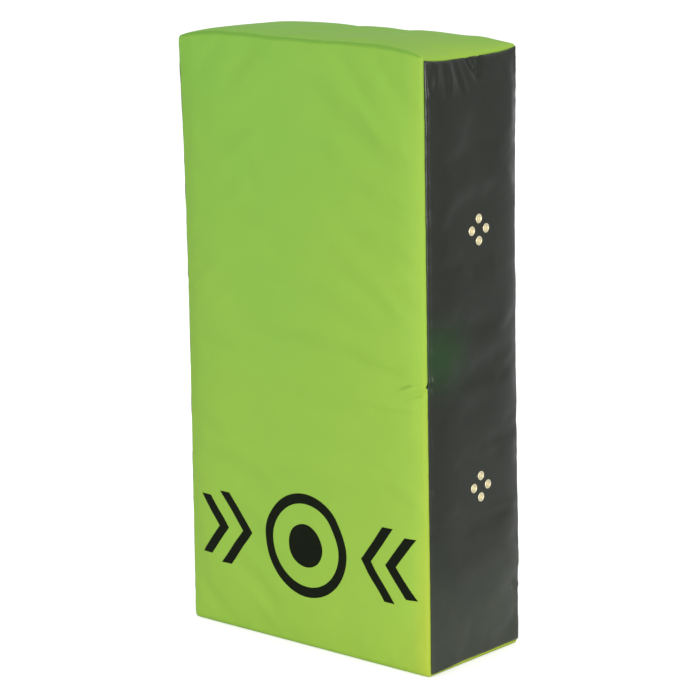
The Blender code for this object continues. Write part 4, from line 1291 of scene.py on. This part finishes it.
def foam_button(name, stand, material):
    """Foam that the cover's pull has pressed up into an eyelet's bore."""
    rings = [ring_on(stand, EYELET_BORE, -FOAM_INSET - BUTTON_ROOT, BORE_SEGMENTS)]
    for share in np.linspace(0, 1, 9)[:-1]:
        turn = share * math.pi / 2
        radius = (EYELET_BORE - CLEAR / 2) * math.cos(turn)
        height = BUTTON_FOOT + BUTTON_RISE * math.sin(turn)
        rings.append(ring_on(stand, radius, height, BORE_SEGMENTS))
    return loft(name, rings, material)


def make_foam(side_stands, material):
    half_gap = CLEAR / 2
    strike_face = STRIKE_FOAM_DEPTH - HALF_DEPTH
    back_face = HALF_DEPTH - BACK_FOAM_DEPTH
    strike = foam_slab("strike_foam", -HALF_DEPTH, strike_face - half_gap, material)
    core = foam_slab("core_foam", strike_face + half_gap, back_face - half_gap, material)
    back = foam_slab("back_foam", back_face + half_gap, HALF_DEPTH, material)
    for side, stands in zip((-1, 1), side_stands):
        for vent_y, vent_z in vent_centres():
            cut(core, vent_pocket(side, vent_y, vent_z))
        for stand in stands.values():
            button = foam_button("button", stand, material)
            join = core.modifiers.new("join", "BOOLEAN")
            join.operation = "UNION"
            join.object = button
            applied(core)
            bpy.data.objects.remove(button)
    cut(back, zip_channel())
    for made, node in zip((strike, core, back), FOAM_NODES):
        dress(made, "shield", "cream_foam", node)


def zip_channel():
    """The way cut along the foam for the zip's tapes and slider."""
    low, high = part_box("lower_zip_tape")[0][2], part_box("upper_zip_tape")[1][2]
    slider_low, slider_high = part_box("zip_slider")
    reach = HALF_WIDTH + ALLOWANCE
    far = HALF_DEPTH + ALLOWANCE
    tape_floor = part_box("upper_zip_tape")[0][1]
    outline = [
        (far, low - CHANNEL_ROOM),
        (far, high + CHANNEL_ROOM),
        (tape_floor, high + CHANNEL_ROOM),
        (tape_floor, slider_high[2] + CHANNEL_ROOM),
        (slider_low[1] - GUARD_ROOM, slider_high[2] + CHANNEL_ROOM),
        (slider_low[1] - GUARD_ROOM, slider_low[2] - CHANNEL_ROOM),
        (tape_floor, slider_low[2] - CHANNEL_ROOM),
        (tape_floor, low - CHANNEL_ROOM),
    ]
    return loft("channel", [[(x, y, z) for y, z in outline] for x in (-reach, reach)], None)


# Stitching

def stitch_points(line, pitch):
    """Pairs of points, each the two ends of one stitch along a line."""
    line = [Vector(point) for point in line]
    lengths = [(b - a).length for a, b in zip(line, line[1:])]
    total = sum(lengths)
    count = max(round(total / pitch), 1)
    step = total / count

    def at(run):
        for a, b, length in zip(line, line[1:], lengths):
            if run <= length:
                return a.lerp(b, run / length)
            run -= length
        return line[-1]

    margin = step * (1 - STITCH_SHARE) / 2
    return [(at(i * step + margin), at((i + 1) * step - margin)) for i in range(count)]


# A stitch, from end to end, as (share of its length, height in thread radii)
STITCH_ARC = ((0.0, -0.9), (0.14, 0.1), (0.5, 0.75), (0.86, 0.1), (1.0, -0.9))
THREAD_SIDES = 6


def sew(name, carrier, toward, lines, material, body="shield", pitch=STITCH_PITCH):
    """Stitches along lines, pulled down onto the carrier where a needle from outside meets it."""
    surface = surface_of(carrier)
    toward = Vector(toward)
    angles = np.arange(THREAD_SIDES) * math.tau / THREAD_SIDES
    points, faces = [], []
    for line in lines:
        for ends in stitch_points(line, pitch):
            hits = [surface.ray_cast(end - toward * ALLOWANCE, toward) for end in ends]
            if any(hit[0] is None for hit in hits):
                continue
            start, finish_point = hits[0][0], hits[1][0]
            up = (hits[0][1] + hits[1][1]).normalized()
            if up.dot(toward) > 0:
                up = -up
            side = (finish_point - start).cross(up).normalized()
            base = len(points)
            for share, lift in STITCH_ARC:
                centre = start.lerp(finish_point, share) + up * lift * THREAD_RADIUS
                for angle in angles:
                    spoke = side * math.cos(angle) + up * math.sin(angle)
                    points.append(centre + spoke * THREAD_RADIUS)
            faces += shifted(tube_faces(len(STITCH_ARC), THREAD_SIDES), base)
    made = mesh_object(name, [tuple(point) for point in points], faces, material)
    return dress(made, body, "black_webbing")


# Handles

def rounded_outline(half_wide, half_high, corner, steps=6):
    """(a, b) points round a rectangle with round corners, about its middle."""
    outline = []
    for quarter, (sa, sb) in enumerate(((1, 1), (-1, 1), (-1, -1), (1, -1))):
        for step in range(steps + 1):
            turn = (quarter + step / steps) * math.pi / 2
            a = sa * (half_wide - corner) + corner * math.cos(turn)
            b = sb * (half_high - corner) + corner * math.sin(turn)
            outline.append((a, b))
    return outline


def make_patch(name, material):
    """A round-cornered reinforcing patch, pressed down along its edge and its stitching.

    Its rows are (inset from the edge, y): up the cut edge, across, down into the seam and on to the middle.
    """
    low, high = corners_of(name)
    middle = (low + high) / 2
    half_wide, half_high = (high.x - low.x) / 2, (high.z - low.z) / 2
    thick = high.y - low.y
    rows = (
        (0.0, low.y),
        (0.0, low.y + 0.55 * thick),
        (0.12 * MM, low.y + 0.85 * thick),
        (0.5 * MM, high.y),
        (PATCH_SEAM - THREAD_GROOVE, high.y),
        (PATCH_SEAM, high.y - 0.18 * thick),
        (PATCH_SEAM + THREAD_GROOVE, high.y),
        (half_wide * 0.5, high.y),
        (half_wide * 0.85, high.y),
    )
    rings = []
    for inset, y in rows:
        corner = max(PATCH_CORNER - inset, PATCH_LEAST_CORNER)
        outline = rounded_outline(half_wide - inset, half_high - inset, corner)
        rings.append([(middle.x + a, y, middle.z + b) for a, b in outline])
    made = sharpen(loft(name + "_cloth", rings, material), 60)
    return dress(made, "shield", "black_vinyl", name)


def patch_seam(name):
    low, high = corners_of(name)
    middle = (low + high) / 2
    half_wide, half_high = (high.x - low.x) / 2 - PATCH_SEAM, (high.z - low.z) / 2 - PATCH_SEAM
    outline = rounded_outline(half_wide, half_high, PATCH_SEAM_CORNER)
    outline.append(outline[0])
    return [(middle.x + a, high.y, middle.z + b) for a, b in outline]


def strap_path(half_span):
    """The middle of the webbing, finely, as (out, height) from the hinge: tab, rise, grip, fall, tab."""
    rise = []
    for share in np.linspace(0, 1, 41):
        rise.append((LOOP_REACH * (1 - math.cos(math.pi * share)) / 2, half_span - share * LOOP_RISE))
    upper = [(0.0, half_span + TAB_LENGTH), *rise]
    whole = np.array(upper + [(out, -height) for out, height in reversed(upper)])
    lengths = np.concatenate([[0], np.cumsum(np.hypot(*np.diff(whole, axis=0).T))])
    runs = np.linspace(0, lengths[-1], round(lengths[-1] / WEBBING_STEP) + 1)
    return np.stack([np.interp(runs, lengths, whole[:, axis]) for axis in (0, 1)], axis=-1)


def make_strap(word, material):
    """Webbing, slightly ribbed and with raised selvedges, from one heat-cut end to the other."""
    node = word + "_handle_strap"
    low, high = corners_of(node)
    middle_x, middle_z = (low.x + high.x) / 2, (low.z + high.z) / 2
    axis_y = low.y + WEBBING_THICK / 2
    half_span = (high.z - low.z) / 2 - TAB_LENGTH
    path = strap_path(half_span)
    tangent = np.gradient(path, axis=0)
    tangent = tangent / np.linalg.norm(tangent, axis=1, keepdims=True)
    normal = np.stack([-tangent[:, 1], tangent[:, 0]], axis=-1)
    half_wide, half_thick = WEBBING_WIDTH / 2, WEBBING_THICK / 2
    across = np.linspace(-1, 1, 25) * (half_wide - half_thick * WEBBING_EDGE)
    rings = []
    for row, ((out, height), (n_out, n_height)) in enumerate(zip(path, normal)):
        ends = min(row, len(path) - 1 - row)
        sealed = min(1.0, SEALED_SHARE + SEALED_STEP * ends)
        loop = []
        for face in (1, -1):
            for a in across[:: face]:
                selvedge = SELVEDGE_RISE * math.exp(-(((half_wide - abs(a)) / SELVEDGE_REACH) ** 2))
                rib = RIB_RISE * math.sin(math.tau * row * WEBBING_STEP / RIB_PITCH + abs(a) / MM)
                t = face * (half_thick * sealed - 2 * RIB_RISE + selvedge + rib)
                loop.append((a, t))
            loop.append((face * half_wide, 0.0))
        ring = []
        for a, t in loop:
            ring.append((middle_x + a, axis_y + out + n_out * t, middle_z + height + n_height * t))
        rings.append(ring)
    made = sharpen(loft(word + "_handle_webbing", rings, material), 50)
    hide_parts(node)
    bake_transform(made)
    return made


def tab_lines(node):
    """A box of stitching with a cross in it, on each of the strap's flat ends."""
    low, high = corners_of(node)
    left, right = low.x + TAB_SEAM, high.x - TAB_SEAM
    lines = []
    for foot in (low.z, high.z - TAB_LENGTH):
        bottom, top = foot + TAB_SEAM, foot + TAB_LENGTH - TAB_SEAM
        y = low.y + WEBBING_THICK
        corners = [(left, y, bottom), (right, y, bottom), (right, y, top), (left, y, top)]
        for a, b in zip(corners, corners[1:] + corners[:1]):
            lines.append([a, b])
        lines += [[corners[0], corners[2]], [corners[1], corners[3]]]
    return lines


def grip_ring(half_wide, half_thick, count=56):
    """A squarish round, as (a, b) points."""
    ring = []
    for step in range(count):
        angle = math.tau * step / count
        cosine, sine = math.cos(angle), math.sin(angle)
        a = math.copysign(abs(cosine) ** (2 / GRIP_ACROSS_POWER), cosine) * half_wide
        b = math.copysign(abs(sine) ** (2 / GRIP_THROUGH_POWER), sine) * half_thick
        ring.append((a, b, angle))
    return ring


def grip_rows(half_length, half_wide, half_thick, lip):
    """(height, half width, half thickness) from one end's lip, over the grip, to the other end's."""
    slot_wide, slot_thick = WEBBING_SLOT
    end = [(half_length - lip, slot_wide, slot_thick), (half_length - 0.5 * MM, slot_wide, slot_thick)]
    for share in np.linspace(0.15, 1, 8):
        turn = share * math.pi / 2
        height = half_length - GRIP_END_TURN * (1 - math.cos(turn))
        wide = slot_wide + (half_wide - slot_wide) * math.sin(turn) ** 0.8
        thick = slot_thick + (half_thick - slot_thick) * math.sin(turn) ** 0.8
        end.append((height, wide, thick))
    straight = half_length - GRIP_END_TURN
    middle = [(h, half_wide, half_thick) for h in np.linspace(straight, -straight, 36)[1:-1]]
    return end + middle + [(-h, w, t) for h, w, t in reversed(end)]


def make_grip(word, vinyl, foam, thread):
    """A foam pad round the webbing, in a vinyl sleeve that is gathered and turned in at its ends."""
    node = word + "_grip_sleeve"
    low, high = corners_of(node)
    middle = (low + high) / 2
    body = word + "_handle"
    half = (high - low) / 2
    random = np.random.default_rng(7 if word == "left" else 8)
    phases = random.uniform(0, math.tau, 4)
    few, many = GRIP_GATHER_COUNTS
    rings = []
    for height, wide, thick in grip_rows(half.z, half.x, half.y, GRIP_LIP):
        near_end = math.exp(-(half.z - abs(height)) / GRIP_GATHER_REACH)
        ring = []
        for a, b, angle in grip_ring(wide, thick):
            waves = math.sin(few * angle + phases[0]) + 0.6 * math.sin(many * angle + phases[1])
            sag = GRIP_SAG * math.sin(height / GRIP_SAG_LENGTH + phases[2] + 2 * angle)
            drop = GRIP_EASE + near_end * GRIP_GATHER * waves + sag
            scale = 1 - drop / thick * GRIP_EASE_SHARE if thick > 4 * MM else 1
            ring.append((middle.x + a * (1 + (scale - 1) * 0.5), middle.y + b * scale, middle.z + height))
        rings.append(ring)
    count = len(rings[0])
    faces = grid_faces(len(rings), count, wrap_columns=True)
    sleeve = mesh_object(word + "_grip_cloth", rings, faces, vinyl)
    thick = sleeve.modifiers.new("thickness", "SOLIDIFY")
    thick.thickness = SLEEVE_THICK
    thick.offset = -1
    applied(sleeve)
    dress(sleeve, body, "black_vinyl", node)
    inset = SLEEVE_THICK + PAD_ROOM
    outer = grip_rows(half.z - PAD_INSET, half.x - inset, half.y - inset, PAD_LIP)
    pad_end = half.z - PAD_INSET - PAD_LIP
    inner = [(h, *WEBBING_SLOT) for h in np.linspace(-pad_end, pad_end, 12)]
    pad_rings = [
        [(middle.x + a, middle.y + b, middle.z + h) for a, b, _ in grip_ring(w, t)]
        for h, w, t in [*outer[2:-2], *inner]
    ]
    pad = loft(word + "_grip_foam", pad_rings, foam, ring_shaped=True)
    dress(pad, body, "cream_foam", word + "_grip_pad")
    foot, top = low.z + PAD_INSET, high.z - PAD_INSET
    line = [(middle.x, low.y, foot), (middle.x, low.y, top)]
    sew(word + "_grip_seam_stitches", sleeve, (0, 1, 0), [line], thread, body, GRIP_STITCH_PITCH)


def make_handles(vinyl, webbing, foam, thread):
    for word in ("left", "right"):
        for level in ("lower", "upper"):
            name = f"{word}_handle_{level}_patch"
            patch = make_patch(name, vinyl)
            sew(name + "_stitches", patch, (0, -1, 0), [patch_seam(name)], thread)
        strap = make_strap(word, webbing)
        sew(word + "_handle_tab_stitches", strap, (0, -1, 0), tab_lines(word + "_handle_strap"), thread)
        make_grip(word, vinyl, foam, thread)


# Zip

def make_tape(word, side, material):
    """Woven tape with a corded edge under the teeth."""
    node = word + "_zip_tape"
    low, high = corners_of(node)
    plane = (low.y + high.y) / 2
    far = (high.z - ZIP_HEIGHT) if side > 0 else (ZIP_HEIGHT - low.z)
    half = TAPE_THICK / 2
    middle = TAPE_NEAR + TAPE_CORD
    turns = np.radians(np.linspace(25, 335, 13))
    profile = [(middle + TAPE_CORD * math.cos(t), TAPE_CORD * math.sin(t)) for t in turns]
    root, brim = TAPE_NEAR + TAPE_CORD_ROOT * TAPE_CORD, far - TAPE_THICK / 2
    profile += [(root, -half), (brim, -half), (far, 0.0), (brim, half), (root, half)]
    rings = []
    for x in np.linspace(low.x, high.x, TAPE_ROWS):
        ripple = TAPE_RIPPLE * math.sin(x / TAPE_RIPPLE_LENGTH + side)
        ring = []
        for reach, out in profile:
            loose = ripple * smooth_step((reach - TAPE_HOLD) / TAPE_CALM)
            ring.append((x, plane + out + loose, ZIP_HEIGHT + side * reach))
        rings.append(ring)
    return dress(sharpen(loft(word + "_zip_tape_cloth", rings, material), 60), "shield", "zip_cloth", node)


# Half of a tooth's plan as (half width, reach) in millimetres, from its head to its root
TOOTH_HEAD = ((0.45, 0.0), (0.95, 0.28), (1.05, 0.75), (0.80, 1.25), (0.75, 1.7))
TOOTH_ROOT = ((1.2, 2.1), (1.25, 2.9), (0.95, 3.55), (0.6, 3.75))


def make_teeth(word, side, material):
    """A row of moulded teeth, each a headed peg that is moulded round the tape's corded edge."""
    node = word + "_zip_tape"
    low, high = corners_of(node)
    plane = (low.y + high.y) / 2
    count = int((high.x - low.x - 2 * STOP_ROOM) / TOOTH_PITCH)
    start = side * TOOTH_PITCH / 4 - (count - 1) * TOOTH_PITCH / 2
    half = TOOTH_HEAD + TOOTH_ROOT
    outline = [(w * MM, r * MM) for w, r in half] + [(-w * MM, r * MM) for w, r in reversed(half)]
    thick, inner = TOOTH_THICK / 2, TOOTH_THICK / 2 * TOOTH_BEVEL
    levels = ((-thick, TOOTH_BEVEL), (-inner, 1.0), (inner, 1.0), (thick, TOOTH_BEVEL))
    points, faces = [], []
    for tooth in range(count):
        x = start + tooth * TOOTH_PITCH
        base = len(points)
        for out, scale in levels:
            for wide, reach in outline:
                drawn = TOOTH_WAIST + (reach - TOOTH_WAIST) * (0.5 + 0.5 * scale)
                points.append((x + wide * scale, plane + out, ZIP_HEIGHT + side * (TOOTH_SPLIT / 2 + drawn)))
        faces += shifted(tube_faces(len(levels), len(outline)), base)
    made = sharpen(mesh_object(word + "_zip_teeth", points, faces, material), 50)
    return dress(made, "shield", "zip_cloth", node)


def make_end_tabs(material):
    """A tab of cover cloth over each end of the zip, hemmed, and rolled into the side seam with the back."""
    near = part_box("upper_zip_tape")[1][0] - TAB_LAP
    z_span = (ZIP_HEIGHT - ZIP_SLOT / 2 + CLEAR, ZIP_HEIGHT + ZIP_SLOT / 2 - CLEAR)
    for word, x_span, ends in (
        ("left", (-HALF_WIDTH, -near), (rolled_edge, hemmed_edge)),
        ("right", (near, HALF_WIDTH), (hemmed_edge, rolled_edge)),
    ):
        spans = (x_span, z_span)
        node = word + "_zip_end_tab"
        both_ends = (ends, (hemmed_edge, hemmed_edge))
        made = sewn_panel(node + "_cloth", "back", spans, both_ends, material, flip=True)
        dress(made, "shield", "black_vinyl", node)


def make_zip_guard(material):
    """A strip of tape cloth along the floor of the zip's channel, so that no foam shows between the teeth."""
    low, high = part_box("zip_slider")
    reach = HALF_WIDTH - ALLOWANCE
    rings = []
    for x in np.linspace(-reach, reach, TAPE_ROWS):
        near = low[1] - GUARD_ROOM / 2 + GUARD_RIPPLE * math.sin(x / GUARD_RIPPLE_LENGTH)
        far = near - GUARD_THICK
        rings.append([(x, near, low[2]), (x, near, high[2]), (x, far, high[2]), (x, far, low[2])])
    made = sharpen(loft("zip_guard_cloth", rings, material))
    return dress(made, "shield", "zip_cloth")


def finish_metal(material):
    """The castings and clips keep their solids, with their edges broken as tumbling leaves them."""
    names = ["zip_slider", "zip_pull", "zip_bottom_stop", "upper_zip_top_stop", "lower_zip_top_stop"]
    for name in names:
        made = bpy.data.objects[name]
        made.material_slots[0].material = material
        edge = made.modifiers.new("tumbled_edges", "BEVEL")
        edge.width = CASTING_EDGE
        edge.segments = 2
        edge.limit_method = "ANGLE"
        edge.harden_normals = False


def make_zip(backs, vinyl, tape, acetal, metal, thread):
    for word, side in (("upper", 1), ("lower", -1)):
        make_tape(word, side, tape)
        make_teeth(word, side, acetal)
    finish_metal(metal)
    make_end_tabs(vinyl)
    make_zip_guard(tape)
    reach = HALF_WIDTH - ZIP_SEAM_STOP
    upper, lower = backs
    for word, side, panel, insets in (("upper", 1, upper, ZIP_SEAMS), ("lower", -1, lower, ZIP_SEAMS[:1])):
        lines = []
        for inset in insets:
            z = ZIP_HEIGHT + side * (ZIP_SLOT / 2 + inset)
            lines.append([(-reach, HALF_DEPTH, z), (reach, HALF_DEPTH, z)])
        sew(word + "_zip_stitches", panel, (0, -1, 0), lines, thread)


# Printed target

def ring_grid(inner, outer, centre, segments):
    radii = np.linspace(inner, outer, max(round((outer - inner) / INK_SPACING), 2) + 1)
    turns = np.linspace(0, math.tau, segments + 1)
    radius, turn = np.meshgrid(radii, turns, indexing="ij")
    return centre[0] + radius * np.cos(turn), centre[1] + radius * np.sin(turn)


def chevron_grid(tip, far, half_height, centre, side):
    """An arrowhead beside the ring that points to its middle, as one bent bar with level ends."""
    up = np.linspace(-1, 1, 2 * round(half_height / INK_SPACING) + 1)
    through = np.linspace(0, 1, round(CHEVRON_STROKE / INK_SPACING) + 1)
    up, through = np.meshgrid(up, through, indexing="ij")
    reach = tip + (far - tip) * np.abs(up) + through * CHEVRON_STROKE
    return centre[0] + side * reach, centre[1] + up * half_height


def make_print(material):
    """A plain striking target: a disc in a ring, with two arrowheads on each side."""
    grids = [
        ring_grid(DISC_EYE, DISC_RADIUS, PRINT_CENTRE, DISC_SEGMENTS),
        ring_grid(RING_RADIUS - RING_STROKE, RING_RADIUS, PRINT_CENTRE, RING_SEGMENTS),
    ]
    for side in (-1, 1):
        for tip, far, half_height in CHEVRONS:
            grids.append(chevron_grid(tip, far, half_height, PRINT_CENTRE, side))
    points, faces = [], []
    for x, height in grids:
        run = height + FRONT_START - FOLD_RADIUS
        faces += shifted(grid_faces(*x.shape), len(points))
        points += on_cover("wrap", x, run, -INK_LIFT).reshape(-1, 3).tolist()
    made = mesh_object("front_target_print", points, faces, material, closed=False)
    thick = made.modifiers.new("film", "SOLIDIFY")
    thick.thickness = INK_LIFT
    thick.offset = -1
    applied(made)
    return dress(made, "shield", "green_vinyl")


# Stage

def studio_paper():
    """White studio paper: dead matt, and lit up for the camera alone, so that it keeps the shadow."""
    white = linear("FFFFFF")
    material, shader = finish("floor_paper", Base_Color=linear("E7E7E7"), Roughness=1.0, Emission_Color=white)
    rays = add(material, "LightPath").outputs
    glow = add(material, "Math", {0: rays["Is Camera Ray"], 1: FLOOR_GLOW}, operation="MULTIPLY")
    feed(material, shader, {"Emission Strength": glow})
    return material


def make_floor():
    data = bmesh.new()
    bmesh.ops.create_grid(data, x_segments=1, y_segments=1, size=FLOOR_REACH)
    mesh = bpy.data.meshes.new("floor")
    data.to_mesh(mesh)
    data.free()
    floor = bpy.data.objects.new("floor", mesh)
    bpy.context.collection.objects.link(floor)
    floor.location.z = -CLEAR
    floor.data.materials.append(studio_paper())


def area_light(name, place, aim, size, watts, colour=(1, 1, 1)):
    data = bpy.data.lights.new(name, "AREA")
    data.shape = "RECTANGLE"
    data.size, data.size_y = size
    data.energy = watts
    data.color = colour
    lamp = bpy.data.objects.new(name, data)
    bpy.context.collection.objects.link(lamp)
    lamp.location = place
    lamp.rotation_euler = (Vector(aim) - Vector(place)).to_track_quat("-Z", "Y").to_euler()


def light_stage():
    world = bpy.data.worlds.new("studio")
    bpy.context.scene.world = world
    world.use_nodes = True
    rays = add(world, "LightPath").outputs
    level = add(world, "MapRange", {"Value": rays["Is Camera Ray"], "To Min": WORLD_LEVEL, "To Max": 1.0})
    background = world.node_tree.nodes["Background"]
    feed(world, background, {"Color": linear("FFFFFF"), "Strength": level})
    area_light("key_softbox", (6.5, -2.2, 1.5), (0, 0, 0.35), (1.5, 1.5), 155, (1, 0.985, 0.95))
    area_light("front_strip", (0.5, -4.6, 0.25), (0, 0, 0.35), (2.0, 0.45), 58)
    area_light("top_softbox", (-0.2, 0.2, 2.8), (0, 0, 0.5), (2.0, 2.0), 14)
    area_light("rear_strip", (-1.2, 4.4, 0.35), (0, 0, 0.35), (2.0, 0.5), 30)
    bpy.context.scene.view_settings.view_transform = "Standard"


make_camera()
make_floor()
light_stage()

green, black = green_vinyl(), black_vinyl()
foam, brass, thread = open_cell_foam(), eyelet_brass(), bonded_thread()
SLACK = simulated_slack()
make_wrap(green)
side_stands = [make_side(word, black) for word in ("left", "right")]
backs = make_backs(black)
for stands in side_stands:
    make_eyelets(stands, brass)
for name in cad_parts:
    if name.endswith("_washer"):
        bpy.data.objects[name].material_slots[0].material = brass
make_foam(side_stands, foam)
make_handles(black, webbing_cloth(), foam, thread)
make_zip(backs, black, tape_cloth(), moulded_acetal(), plated_zinc(), thread)
make_print(screen_ink())
